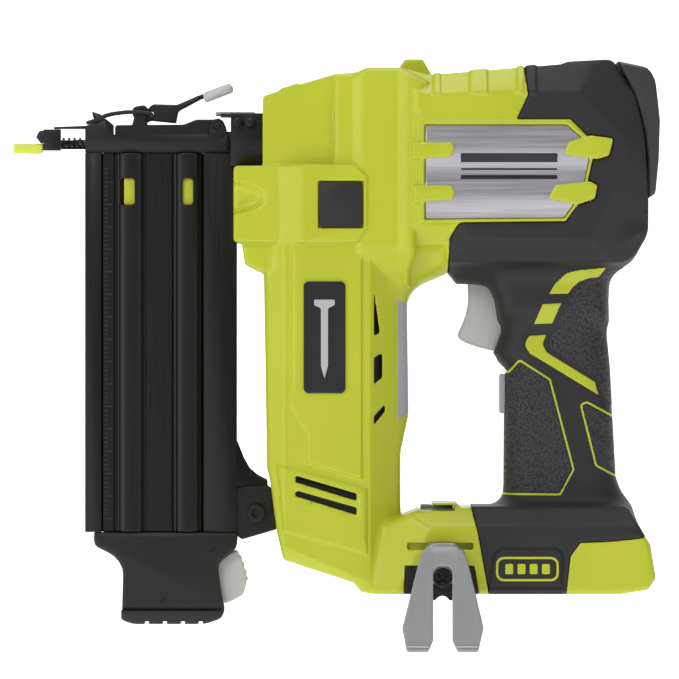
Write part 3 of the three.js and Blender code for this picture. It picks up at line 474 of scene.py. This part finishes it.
LIME, DARK_GREY, BLACK = srgb(188, 197, 42), srgb(45, 44, 46), srgb(25, 25, 26)
LIGHT_GREY, SILVER = srgb(188, 188, 187), srgb(194, 192, 198)
MATERIALS = {
    "lime_plastic": moulded("lime_plastic", LIME, 0.33),
    "dark_rubber": moulded("dark_rubber", DARK_GREY, 0.5, 0.03, 1800, 0.15, Specular_IOR_Level=0.3),
    "grip": textured_grip("grip", DARK_GREY),
    "black_plastic": moulded("black_plastic", BLACK, 0.45, 0.03, 2000, 0.2, Specular_IOR_Level=0.35),
    "cap_plastic": moulded("cap_plastic", srgb(58, 58, 60), 0.38, 0.03, 2000, 0.2),
    "grey_plastic": moulded("grey_plastic", LIGHT_GREY, 0.42),
    "plate_black": moulded("plate_black", srgb(30, 29, 32), 0.3, 0.01),
    "plate_mark": moulded("plate_mark", srgb(182, 182, 184), 0.35, 0.01),
    "steel": metal("steel", srgb(165, 165, 168), 0.3),
    "black_steel": metal(
        "black_steel", srgb(28, 28, 30), 0.36, metallic=0.2, spots=0.08, Specular_IOR_Level=0.4,
    ),
    "black_aluminium": metal(
        "black_aluminium", srgb(21, 21, 23), 0.3, (1, 1, 0.02), 0.01, 0.1, 0.08, Specular_IOR_Level=0.35,
    ),
    "hook_metal": metal("hook_metal", srgb(164, 164, 166), 0.4, (1, 1, 0.06), 0.008, 0.85, 0.06),
    "panel": metal("panel", SILVER, 0.36, (0.012, 1, 1), 0.02, 0.9, 0.22),
    "aluminium": metal("aluminium", srgb(170, 170, 170), 0.45),
    "copper": metal("copper", srgb(176, 112, 60), 0.4),
    "pad_plastic": moulded("pad_plastic", srgb(216, 224, 84), 0.4),
    "lens_plastic": moulded("lens_plastic", srgb(160, 162, 160), 0.2, 0.005, Transmission_Weight=0.2),
    "board": moulded("board", srgb(31, 90, 53), 0.5),
    "bumper_rubber": moulded("bumper_rubber", srgb(40, 40, 42), 0.8),
    "scale_grey": moulded("scale_grey", srgb(52, 52, 54), 0.5),
    "label": moulded("label", srgb(168, 170, 176), 0.35, 0.01),
}


def place(piece, body, material, *replaced):
    """Gives a piece its material and the body it rides on, and hides the CAD nodes that it stands for."""
    piece.data.materials.clear()
    piece.data.materials.append(MATERIALS[material])
    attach(piece, body)
    if replaced:
        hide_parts(*replaced)
    return piece


# ---- The housing ----
TOP_HALF, FOOT_HALF, COLUMN_HALF, BLOCK_HALF = 40, 39, 32.7, 28  # how far each part stands out sideways
HANDLE_HALF, NECK_HALF = 17.5, 21
CELL = 0.6
HULL = Space((-122, -43, -2), (68.5, 1.8, 239), CELL)
GRIP = Space((-6, -31, 40), (58, 1, 150), 0.4)
PARTING = -0.12  # where the left half ends, just short of the middle
SEAM = 0.14  # half of the gap between the lime and the dark parts
LINE_HALF = 0.55
RIBS = [(-170.5, -159.5), (-145, -134.5)]
WINDOWS = [(-169.8, -163.4), (-142, -137.4)]
WINDOW_HEIGHT = (173, 184.5)
CUBE_FACES = [(0, 1, 3, 2), (4, 6, 7, 5), (0, 4, 5, 1), (2, 3, 7, 6), (0, 2, 6, 4), (1, 5, 7, 3)]


def front_half(space):
    """How far the front of the body stands out: a recessed panel, then two rises towards the rear."""
    half = 33.8 + 2.2 * ramp(space.x, -66.2, -62.4) + 2.2 * ramp(space.x, -46.5, -41.8)
    return half - 0.8 * np.maximum(153 - space.z, 0)


def top_body(space):
    """The cylinder housing: bevelled under the roof, with a long facet round the rear and the underside."""
    flat = space.inside(TOP)
    side = np.abs(space.y) - TOP_HALF
    body = corner(flat, side, 1.6)
    body = np.maximum(body, sloped(flat, side, 9, 8))
    past = np.maximum(space.inside(SIDE_FLAT), 0)
    body = -join(-body, -(side + 0.62 * past) * 0.85, soft=1)
    ahead = np.maximum(-34.6 - space.x - 1.05 * np.maximum(space.z - 212.7, 0), 0)
    body = np.maximum(body, (side + 0.33 * ahead) * 0.95)
    return join(body, space.slab(space.inside(HUMP), -12, 12, 1))


def roof_bands(space, body):
    """Raised bands across the roof."""
    bands = [(-30, -28, 0.4), (-14, -7, 0.7), (7, 9.2, 0.7), (11, 14.5, 0.6)]
    made = [
        join(body - rise, np.abs(space.x - (a + b) / 2) - (b - a) / 2, 222 - space.z, low=False)
        for a, b, rise in bands
    ]
    return join(body, *made, soft=1.6)


def front_body(space):
    """The front of the body, with its box for the side plug and its nose block."""
    flat = space.inside(FRONT)
    side = np.abs(space.y) - front_half(space)
    front = np.maximum(corner(flat, side * 0.9, 0.6), (flat + side + 1.5) * SQRT_HALF)
    recess = np.maximum(space.inside(FRONT_PANEL), 30.4 - np.abs(space.y))
    front = cut(front, recess, soft=0.5)
    block = space.slab(space.inside(BLOCK), -BLOCK_HALF, BLOCK_HALF, 2)
    box_half = 31.7 + 5.4 * ramp(space.x, -99, -88)
    box = corner(space.inside(BOX), np.abs(space.y) - box_half, 1)
    dent = np.sqrt(
        ((space.x + 121) / 17) ** 2 + ((np.abs(space.y) - 33.5) / 7) ** 2 + ((space.z - 175.5) / 7.5) ** 2
    )
    box = cut(box, (dent - 1) * 6, soft=0.6)
    return join(front, block, box, soft=0.8)


def column_body(space):
    """The motor column, with slanted front and rear facets and a raised pad for the name plate."""
    flat = space.inside(COLUMN)
    taper = 0.85 * np.maximum(-96.5 - space.x, 0) + 0.78 * np.maximum(space.x + 58.5, 0)
    under = np.maximum((21 - space.z) - 0.42 * (space.x + 97), 0) * 0.75
    side = np.abs(space.y) - (COLUMN_HALF - taper - under)
    column = corner(flat, side * 0.8, 1.5)
    for pad, rise in ((COLUMN_PAD, 0.95), (VENT_PAD, 0.7)):
        raised = join(space.inside(pad) * 0.7, column - rise, low=False)
        column = join(column, raised, soft=0.8)
    return column


def foot_body(space):
    """The battery foot, bevelled along its top edge."""
    flat = space.inside(FOOT)
    side = np.abs(space.y) - FOOT_HALF
    ahead = np.maximum(-47.5 - space.x + 0.53 * space.z, 0)
    foot = corner(flat, (side + 0.46 * ahead) * 0.85, 2.5)
    shoulder = (side + space.z - 39 + 9.5) * SQRT_HALF
    return -join(-foot, -shoulder, soft=1.5)


def handle_body(space):
    """The handle, nearly oval in section, and the neck that joins it to the body."""
    handle = corner(space.inside(HANDLE), np.abs(space.y) - HANDLE_HALF, 13)
    neck_half = NECK_HALF + 0.55 * np.maximum(space.z - 138, 0)
    neck = corner(space.inside(NECK), (np.abs(space.y) - neck_half) * 0.9, 7)
    return handle, neck


def outer_body(space):
    """Everything of the housing's outside."""
    top = roof_bands(space, top_body(space))
    handle, neck = handle_body(space)
    rear = join(handle, neck, soft=8)
    rear = join(rear, top, soft=7)
    foot = join(foot_body(space), column_body(space), soft=2)
    rear = join(rear, foot, soft=9)
    return join(rear, front_body(space), soft=1.2)


def panel_frame(space):
    """The lime rim round the cylinder panel and the tabs that hold it."""
    panel = space.inside(PANEL)
    rim = space.slab(np.abs(panel - 0.9) - 0.9, -40.5, -36, 0.4)
    tabs = [space.slab(space.inside(tab), -41.4, -36, 1.0) for tab in LEFT_TABS + RIGHT_TABS]
    return join(rim, *tabs)


def hook_slot(space):
    """The slot and the sunk seat for the belt hook."""
    slot = space.box((-42, -13), (-60, -34), (19.8, 22.8))
    return slot, np.maximum(space.inside(HOOK_SEAT), space.y + 36.4)


def hull_pieces():
    """Distance fields of the housing's lime and dark parts."""
    space = HULL
    outer = outer_body(space)
    socket_low, socket_high = (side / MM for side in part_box("battery_socket"))
    seat = space.box((socket_low.x - 0.3, socket_high.x + 0.3), (socket_low.y - 0.3, 50), (-9, 7))
    vents = [np.maximum(space.inside(vent), space.y + 20) for vent in SIDE_VENTS + LOW_SLOTS]
    column = column_body(space)
    hollow = join(space.inside(COLUMN) + 3.4, column + 2.8, low=False)
    rooms = join(
        space.box((-98, -41.5), (-24.5, 24), (140, 222)), space.box((-43, 46), (-24.5, 24), (149.4, 222)),
    )
    hollow = join(hollow, join(rooms, outer + 2.2, low=False))
    trigger_way = space.box((-17, 8), (-6.4, 9), (104.5, 150))
    plug_room = [(-81.6, 162), (-61.4, 162), (-61.4, 183), (-81.6, 183)]
    plug = np.maximum(space.inside(plug_room), 34.6 + space.y)
    lens = space.box((-36.4, -21), (-60, 9), (36.9, 39.4))
    mount = space.box((-121.5, -100), (-15, 9), (189.6, 214))
    pocket = space.box((-121.5, -117), (-8, 9), (140, 197))
    sunk = np.maximum(space.inside(PANEL), space.y + 37.6)
    slot, hook_seat = hook_slot(space)
    dark = space.inside(DARK)
    tab_area = join(*[space.inside(tab) for tab in RIGHT_TABS])
    half = space.y - PARTING
    body = cut(outer, seat, trigger_way, lens, mount, pocket, sunk, hollow)
    lime = join(body, np.maximum(panel_frame(space), space.y + 30), soft=0.4)
    lime = cut(lime, *vents, plug, slot, hook_seat)
    lime = join(lime, np.minimum(-dark, tab_area) + SEAM, half, low=False)
    moat = np.maximum(np.abs(space.inside(BADGE_PAD)) - 0.5, space.y + 38.2)
    body = cut(body, moat, soft=0.5)
    body = join(body, dark + SEAM, SEAM - tab_area, half, low=False)
    # Painted shade: black sheets just inside the vents, standing for the shade inside the housing behind
    # them.
    shade_sheets = join(np.abs(column + 2.9) - 0.4, join(*vents) - 1.5, half, low=False)
    return {"lime": lime, "dark": body, "shade_sheets": shade_sheets}


def grip_pieces():
    """Distance fields of the grip's textured areas and of its lime inlays, just proud of the handle."""
    space = GRIP
    outer = outer_body(space)
    skin = np.maximum(-(outer + 1), space.y - PARTING)
    areas = join(*[space.inside(outline) for outline in (FRONT_LINE, REAR_LINE, UPPER_GRIP)])
    lines = join(space.along(FRONT_LINE), space.along(REAR_LINE)) - LINE_HALF
    marks = join(lines, *[space.inside(stripe) for stripe in STRIPES])
    dark = space.inside(DARK)
    texture = join(outer - 0.1, areas + 0.1, 0.15 - marks, skin, dark + SEAM, low=False)
    inlay = join(outer - 0.18, marks, skin, dark + SEAM, low=False)
    return {"texture": texture, "inlay": inlay}


def build_housing():
    """Both halves of the housing and its grip covers, from one set of shapes."""
    hull, grip = hull_pieces(), grip_pieces()
    for side in ("left", "right"):
        mirror = side == "right"
        shell = mesh_of(f"{side}_housing_shell", HULL, hull["lime"], mirror)
        place(shell, "housing", "lime_plastic", f"{side}_housing")
        cover = mesh_of(f"{side}_grip_shell", HULL, hull["dark"], mirror)
        place(cover, "housing", "dark_rubber", f"{side}_grip_cover")
        # Black sheets behind the vents, as painted shade.
        shade_sheets = mesh_of(f"{side}_vent_shade_sheets", HULL, hull["shade_sheets"], mirror)
        place(shade_sheets, "housing", "black_plastic")
        place(mesh_of(f"{side}_grip_texture", GRIP, grip["texture"], mirror), "housing", "grip")
        place(mesh_of(f"{side}_grip_inlay", GRIP, grip["inlay"], mirror), "housing", "lime_plastic")


# ---- Pieces on the housing ----
def build_panels():
    """The brushed panels over the cylinder, gently waved, with plain rules printed across them."""
    space = Space((-36, -42, 164), (40, -36.5, 210), 0.45)
    wave = 0.5 * np.cos((space.z - 197.5) / 21 * 2 * math.pi)
    front = -space.y - 39.5 - wave
    panel = corner(space.inside(PANEL) + 0.25, np.maximum(front, space.y + 37.9), 0.3)
    rules = [(191, 195.4), (187.6, 188.8), (183.6, 185.8)]
    bars = join(*[space.box((-18.6, 24.4), (-45, -30), z) for z in rules])
    printed = join(front - 0.15, -(front + 0.7), bars, low=False)
    for side in ("left", "right"):
        mirror = side == "right"
        made = mesh_of(f"{side}_brushed_panel", space, panel, mirror, 0)
        place(made, "housing", "panel", f"{side}_cylinder_panel")
        place(mesh_of(f"{side}_panel_rules", space, printed, mirror, 0), "housing", "plate_black")


def build_badge():
    """A plain badge on the foot: a lime rim round a row of charge bars."""
    space = Space((-5, -40.5, 3), (28, -37, 20), 0.3)
    flat = space.inside(BADGE)
    ring = space.slab(np.abs(flat + 0.6) - 0.55, -39.5, -38, 0.2)
    bars = []
    for left in (1.2, 6.6, 12, 17.4):
        right = left + 3.6
        bar = [(left, 9, 0.6), (right, 9, 0.6), (right, 13.6, 0.6), (left, 13.6, 0.6)]
        bars.append(space.slab(space.inside(bar), -39.5, -38, 0.2))
    rim = join(ring, *bars)
    for side in ("left", "right"):
        place(mesh_of(f"{side}_badge", space, rim, side == "right"), "housing", "lime_plastic")


def build_label():
    """A blank label on the inner facet of the motor column."""
    space = Space((-50, -32, 72), (-38, 0.5, 137), 0.45)
    column = column_body(space)
    area = space.inside([(-46.6, 133.6), (-38, 133.6), (-38, 85), (-41.8, 80.5), (-46.6, 76)])
    label = join(column - 0.14, -(column + 0.5), area, space.y - PARTING, low=False)
    place(mesh_of("column_label", space, label), "housing", "label")


def build_name_plate():
    """The name plate, with a plain nail drawn on it in place of a name."""
    low, high = (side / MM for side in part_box("name_plate"))
    space = Space((low.x - 1, low.y - 0.8, low.z - 1), (high.x + 1, high.y + 0.8, high.z + 1), 0.25)
    flat = space.inside([
        (low.x, low.z, 2.2), (high.x, low.z, 2.2), (high.x, high.z, 2.2), (low.x, high.z, 2.2),
    ])
    plate = space.slab(flat, low.y, high.y, 0.3)
    place(mesh_of("blank_name_plate", space, plate), "housing", "plate_black", "name_plate")
    middle = (low.x + high.x) / 2
    half = [(4.6, 41.5, 0.5), (4.6, 39, 0.5), (1.6, 37.6, 1), (1.6, 12, 0.5), (0, 6.5)]
    outline = [(middle + x, low.z + z, *r) for x, z, *r in half]
    outline += [(middle - x, low.z + z, *r) for x, z, *r in half[-2::-1]]
    mark = space.slab(space.inside(outline), low.y - 0.15, low.y + 0.5, 0.1)
    place(mesh_of("plate_nail", space, mark), "housing", "plate_mark")


def build_belt_hook():
    """The belt hook: a forked plate on a bridge, with its seat and a cross-head screw. The seat and the lug
    under it are black partly as painted shade.
    """
    low, high = (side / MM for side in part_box("belt_hook"))
    space = Space((low.x - 1, low.y - 1, low.z - 1), (high.x + 1, high.y + 1, high.z + 1), 0.45)
    fork = space.slab(space.inside(HOOK), low.y, low.y + 2.3, 0.5)
    bent = (-(space.z - low.z) + 2.2 + (space.y - low.y) * 0.9) * SQRT_HALF
    fork = cut(fork, np.maximum(bent, space.y - low.y - 0.7) - 0.1)
    bridge = space.box((-33, -20.3), (low.y + 0.8, -39.3), (20.3, high.z), 1.5)
    inside = space.box((-34, -19), (-41.5, -39.3), (5, 21.5), 0.4)
    screw_low, screw_high = (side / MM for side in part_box("hook_screw"))
    middle = ((screw_low.x + screw_high.x) / 2, (screw_low.z + screw_high.z) / 2)
    hole = space.rod("y", middle, 2.4, -45, -35)
    hook = cut(join(fork, bridge, inside, soft=1.2), hole)
    place(mesh_of("belt_hook_plate", space, hook), "housing", "hook_metal", "belt_hook")
    # The seat is black partly as painted shade, and the lug below it is a black band that stands for the
    # shade under the foot, behind the fork.
    seat_space = Space((-46, -40.5, -4), (-8, -36, 14), 0.45)
    seat = seat_space.slab(seat_space.inside(HOOK_SEAT) + 0.25, -38.3, -36.6, 0.3)
    seat = np.maximum(seat, 0.2 - seat_space.z)
    lug = seat_space.box((-32, -21.2), (-39.2, -36.8), (-2.6, 6), 0.4)
    lug = cut(lug, np.hypot(seat_space.x + 26.6, seat_space.z + 3.8) - 3.2 + 0 * seat_space.y)
    place(mesh_of("hook_seat", seat_space, join(seat, lug)), "housing", "black_plastic")
    build_screw("hook_screw_head", middle, screw_low.y, 4.3, "hook_screw", "black_steel")


def build_screw(name, middle, front, radius, replaced, material, body="housing", hexagon=False):
    """A screw seen from the left: a domed head with a cross or a hexagon socket."""
    space = Space(
        (middle[0] - radius - 1, front - 0.8, middle[1] - radius - 1),
        (middle[0] + radius + 1, front + 7.5, middle[1] + radius + 1), 0.22,
    )
    head = space.rod("y", middle, radius, front, front + 2.2, 0.7)
    shank = space.rod("y", middle, radius * 0.5, front, front + 6.5)
    x, z = space.x - middle[0], space.z - middle[1]
    if hexagon:
        sides = [np.abs(x * math.cos(a) + z * math.sin(a)) for a in (0, math.pi / 3, 2 * math.pi / 3)]
        socket = join(*sides, low=False) - radius * 0.5
    else:
        arms = [(np.abs(x + z) * SQRT_HALF, np.abs(x - z) * SQRT_HALF)]
        arms.append(arms[0][::-1])
        socket = join(*[np.maximum(a - radius * 0.16, b - radius * 0.6) for a, b in arms])
    screw = cut(join(head, shank, soft=0.3), np.maximum(socket, space.y - front - 1.5), soft=0.2)
    made = mesh_of(name, space, screw)
    return place(made, body, material, replaced) if replaced else place(made, body, material)


def build_grip_strip():
    """The pale strip let into the front of the handle."""
    space = Space((-3, -8, 78), (5, 8, 100), 0.4)
    strip = space.box((-0.9, 4), (-6.5, 6.5), (80, 97.4), 0.8)
    place(mesh_of("handle_strip", space, strip), "housing", "label")


# ---- The nose ----
def build_nose():
    """The latch door with its side skirts, and the plates that close the nose above the magazine."""
    space = Space((-175, -8.5, 202), (-121, 8.5, 216), 0.35)
    profile = [
        (-172.2, 205.9), (-172.2, 208.4, 1), (-149.5, 208.6), (-141.5, 208.6), (-136, 210.9, 2),
        (-126, 210.9, 2), (-124, 209, 1), (-124, 205.8),
    ]
    body = space.slab(space.inside(profile), -7.2, 7.2, 0.5)
    skirt = space.inside([(-172.2, 203.3), (-172.2, 208, 1), (-129.6, 208), (-129.6, 203.3)])
    skirt = space.slab(skirt, -7.2, 7.2)
    skirt = np.maximum(skirt, 5.4 - np.abs(space.y))
    pivot = (-126.5, 208)
    barrel = corner(np.hypot(space.x - pivot[0], space.z - pivot[1]) - 3.3, np.abs(space.y) - 7.2, 0.3)
    ear = space.inside([(-165, 207), (-163.4, 213, 2), (-161, 214.6, 2), (-158.6, 213, 2), (-157.6, 207)])
    ears = corner(ear, np.abs(np.abs(space.y) - 6.1) - 1.1, 0.2)
    axle = corner(np.hypot(space.x + 161, space.z - 212) - 1.2, np.abs(space.y) - 6)
    pin_hole = np.hypot(space.x - pivot[0], space.z - pivot[1]) - 1.45 + 0 * space.y
    blade_way = join(
        space.box((-173, -118), (-2.1, 2.1), (200, 205.9)),
        space.box((-131.5, -118), (-2.1, 2.1), (200, 207.3)),
    )
    pocket = space.box((-168, -157), (-5, 5), (206.4, 209.5))
    door = cut(join(body, skirt, barrel), pocket, pin_hole, blade_way)
    door = join(door, ears, axle)
    place(mesh_of("latch_door", space, door), "door", "black_steel", "nose_door")
    base = Space((-187, -8.5, 195.5), (-117, 9.5, 197.6), 0.35)
    closing = base.box((-185.5, -118.2), (-7.3, 7.8), (196.15, 197.1), 0.2)
    closing = cut(closing, base.box((-181.5, -128), (-1, 1), (190, 199)))
    place(mesh_of("magazine_top_plate", base, closing), "housing", "black_steel")
    cap = Space((-129, -8, 210.5), (-108, 8, 216), 0.35)
    plate = cap.box((-127.4, -109.8), (-6.4, 6.4), (212.6, 214.4), 0.3)
    place(mesh_of("nose_cover_plate", cap, plate), "housing", "aluminium")


# ---- The magazine ----
def build_bracket():
    """The bracket between the magazine's web and the motor column, with its socket bolt."""
    space = Space((-121, -7.5, 22), (-98, 7.5, 50), 0.4)
    outline = [
        (-119, 26), (-119, 46.6), (-104.6, 48), (-102.3, 46.4, 1), (-99.9, 28.2, 1), (-115.5, 23.6, 1),
    ]
    place(
        mesh_of("bracket_plate", space, space.slab(space.inside(outline), -6, 6, 0.5)),
        "housing", "black_steel", "magazine_bracket",
    )
    build_screw("bracket_bolt_head", (-109, 35.5), -9.3, 4, "bracket_bolt", "black_steel", hexagon=True)


def build_latch():
    """The magazine's release, with a ribbed thumb face, tucked into the grip."""
    space = Space((-131, -6, -6), (-111, 6, 21), 0.35)
    outline = [
        (-129.8, 13, 1), (-123.5, 17, 2), (-117.8, 19, 1), (-115.5, 14), (-113.6, 8, 2), (-113.6, 4, 2),
        (-115, -1, 2), (-119.5, -3.6, 1), (-122.5, -4.8, 1), (-127.5, -4.2, 1), (-129.8, 6, 2),
    ]
    latch = space.slab(space.inside(outline), -4.9, 4.9, 0.9)
    ribs = [(-116.6, 15.6), (-115.3, 12.4), (-114.3, 9.2), (-113.7, 6)]
    teeth = [np.hypot(space.x - x, space.z - z) - 0.8 for x, z in ribs]
    teeth = np.maximum(join(*teeth), np.abs(space.y) - 4.2)
    place(
        mesh_of("magazine_release", space, join(latch, teeth, soft=0.6)),
        "magazine_latch", "grey_plastic", "magazine_latch",
    )
    for i, middle in enumerate([(-129, 19), (-151, -3.5)]):
        build_screw(f"grip_screw_{i + 1}", middle, -10.9, 1.9, None, "black_steel", "magazine")


def build_magazine_cover():
    """The magazine's cover: two rounded ribs with windows, and a scale cut beside them."""
    low, high = (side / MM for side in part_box("magazine_cover"))
    space = Space((low.x - 1, low.y - 1, low.z - 1), (high.x + 1, high.y + 1, high.z + 1), 0.45)
    face = low.y + 2.7
    tall = (low.z, high.z)
    cover = space.box((low.x, high.x), (face, high.y), tall, 0.3)
    for (left, right), (window_left, window_right) in zip(RIBS, WINDOWS):
        middle, half, rise = (left + right) / 2, (right - left) / 2, face - low.y
        across, outward = (space.x - middle) / half, (space.y - face - 0.3) / (rise + 0.3)
        rib = (np.hypot(across, outward) - 1) * rise + 0 * space.z
        cover = join(cover, rib, soft=0.4)
        way = space.box((left + 2, right - 2), (low.y + 1.5, 3), (low.z - 3, high.z + 3))
        window = space.box((window_left, window_right), (low.y - 2, low.y + 3.5), WINDOW_HEIGHT, 1.2)
        grooves = [
            space.box((x - 0.3, x + 0.3), (face - 1, face + 0.5), tall) for x in (left - 1, right + 1)
        ]
        cover = cut(cover, way, window, *grooves)
    cover = cut(cover, space.box((low.x + 5.2, low.x + 6.4), (face - 1, face + 1), tall, 0.3))
    cover = join(cover, low.z - space.z, space.z - high.z, low=False)
    made = mesh_of("magazine_cover_shell", space, cover)
    place(made, "magazine", "black_aluminium", "magazine_cover")
    build_scale(low.x + 0.7, face, low.z + 6, high.z - 4)
    body_low, body_high = (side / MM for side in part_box("magazine_body"))
    space = Space((low.x - 2, -8, body_low.z - 3), (body_high.x + 2, 8, body_low.z + 1), 0.3)
    strip = space.box((low.x + 0.5, -118.8), (-6.5, 6.5), (body_low.z - 2, body_low.z - 0.05), 0.1)
    place(mesh_of("magazine_foot_seal", space, strip), "magazine", "black_plastic")


def build_scale(left, face, low, high):
    """A ruled scale: raised marks every 2 mm, longer at every fifth."""
    mesh = bpy.data.meshes.new("magazine_scale")
    points, faces = [], []
    count = int((high - low) / 2)
    for i in range(count):
        length = 3.6 if i % 5 == 0 else 1.8
        start = len(points)
        z = low + 2 * i
        for x in (left, left + length):
            for y in (face - 0.12, face + 0.2):
                points += [(x * MM, y * MM, (z - 0.16) * MM), (x * MM, y * MM, (z + 0.16) * MM)]
        faces += [tuple(start + k for k in quad) for quad in CUBE_FACES]
    mesh.from_pydata(points, [], faces)
    made = bpy.data.objects.new("magazine_scale", mesh)
    bpy.context.scene.collection.objects.link(made)
    place(made, "magazine", "scale_grey")


# ---- CAD nodes that stay ----
KEPT = {
    "rear_cap": "cap_plastic", "pressure_dial": "black_plastic", "left_side_plug": "dark_rubber",
    "right_side_plug": "dark_rubber", "work_light_lens": "lens_plastic",
    "battery_socket": "black_plastic", "terminal_block": "black_plastic", "circuit_board": "board",
    "trigger_switch": "black_plastic", "switch_plunger": "grey_plastic", "trigger": "grey_plastic",
    # The motor can, ring gear and crank are dark steel partly as painted shade, so that the inside seen
    # through the vents stays dark.
    "trigger_pin": "steel", "motor_can": "black_steel", "ring_gear": "black_steel",
    "compressor_cylinder": "aluminium", "drive_cylinder": "aluminium",
    "drive_bumper": "bumper_rubber", "rotor": "copper", "crank": "black_steel",
    "planet_gear_1": "steel", "planet_gear_2": "steel", "planet_gear_3": "steel",
    "compressor_piston": "aluminium", "connecting_rod": "steel", "drive_piston": "aluminium",
    "driver_blade": "steel", "nose_casting": "black_aluminium", "nose_base": "black_steel",
    "door_pin": "black_steel", "latch_lever": "black_steel", "latch_tip": "grey_plastic",
    "latch_bail": "black_steel", "contact_arm": "black_steel", "contact_pad": "pad_plastic",
    "contact_spring": "black_steel", "depth_wheel": "black_plastic",
    "magazine_body": "black_aluminium", "pusher": "lime_plastic", "magazine_grip": "black_plastic",
    "grip_pad": "dark_rubber", "nose_bolt_1": "black_steel", "nose_bolt_2": "black_steel",
    "housing_screw_1": "black_steel", "housing_screw_2": "black_steel",
    "housing_screw_3": "black_steel", "housing_screw_4": "black_steel",
}


def finish_cad_nodes():
    """Welds and bevels each CAD node that no other piece stands for, and gives it its material."""
    for name, material in KEPT.items():
        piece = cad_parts[name]
        piece.data.materials.clear()
        piece.data.materials.append(MATERIALS[material])
        piece.modifiers.new("weld", "WELD").merge_threshold = 1e-6
        bevel = piece.modifiers.new("bevel", "BEVEL")
        bevel.width = 0.35 * MM
        bevel.segments = 2
        bevel.limit_method = "ANGLE"
        bevel.angle_limit = math.radians(40)
        bevel.harden_normals = True
        for face in piece.data.polygons:
            face.use_smooth = True


# ---- Stage ----
def build_stage():
    """A pale sweep well below the tool, so that the open magazine clears it, and soft lights."""
    floor_z = CAD_BOX[0].z - 0.16
    profile = [(-7.0, floor_z), (4.6, floor_z)]
    for step in range(1, 13):
        angle = step / 12 * math.pi / 2
        profile.append((4.6 + 0.9 * math.sin(angle), floor_z + 0.9 * (1 - math.cos(angle))))
    profile.append((5.5, 6.0))
    mesh = bpy.data.meshes.new("sweep")
    points = [(x, y, z) for x in (-7.0, 7.0) for y, z in profile]
    count = len(profile)
    faces = [(i, i + count, i + count + 1, i + 1) for i in range(count - 1)]
    mesh.from_pydata(points, [], faces)
    sweep = bpy.data.objects.new("sweep", mesh)
    bpy.context.scene.collection.objects.link(sweep)
    for face in mesh.polygons:
        face.use_smooth = True
    made, tree, shader = surface("sweep")
    tint = mixed(tree, noise(tree, 3.0), (0.9, 0.9, 0.9, 1), (0.93, 0.93, 0.93, 1))
    tree.links.new(tint, shader.inputs["Base Color"])
    shader.inputs["Roughness"].default_value = 0.9
    shader.inputs["Emission Color"].default_value = (1, 1, 1, 1)
    across = node(tree, "ShaderNodeSeparateXYZ", {"Vector": texture_place(tree)}).outputs["Y"]
    tree.links.new(spread(tree, across, 0.3, 4.5, (0.5, 0.85)), shader.inputs["Emission Strength"])
    mesh.materials.append(made)
    world = bpy.data.worlds.new("studio")
    world.use_nodes = True
    world.node_tree.nodes["Background"].inputs["Color"].default_value = (1, 1, 1, 1)
    world.node_tree.nodes["Background"].inputs["Strength"].default_value = 0.26
    bpy.context.scene.world = world
    aim_at = Vector((-0.07, 0.0, 0.11))
    for name, where, size, power in (
        ("key", (-0.8, -1.3, 1.0), 0.6, 8),
        ("left", (-1.4, -0.75, 0.2), 0.9, 3.5),
        ("fill", (1.3, -1.2, 0.5), 0.7, 1.2),
        ("top", (0.1, -0.15, 1.5), 0.9, 8),
    ):
        light = bpy.data.lights.new(name, "AREA")
        light.size = size
        light.energy = power
        lamp = bpy.data.objects.new(name, light)
        lamp.location = where
        lamp.rotation_euler = (aim_at - Vector(where)).to_track_quat("-Z", "Y").to_euler()
        bpy.context.scene.collection.objects.link(lamp)
    bpy.context.scene.view_settings.view_transform = "Standard"


def build_camera():
    """A long lens, square to the tool's left side."""
    data = bpy.data.cameras.new("camera")
    camera = bpy.data.objects.new("camera", data)
    distance, width = 4.0, 0.3005
    data.lens = data.sensor_width * distance / width
    camera.location = (-0.0721, -0.036 - distance, 0.1128)
    camera.rotation_euler = (math.radians(90), 0, 0)
    bpy.context.scene.collection.objects.link(camera)
    bpy.context.scene.camera = camera


build_camera()
build_stage()
build_housing()
build_panels()
build_badge()
build_name_plate()
build_label()
build_belt_hook()
build_grip_strip()
build_nose()
build_bracket()
build_latch()
build_magazine_cover()
finish_cad_nodes()
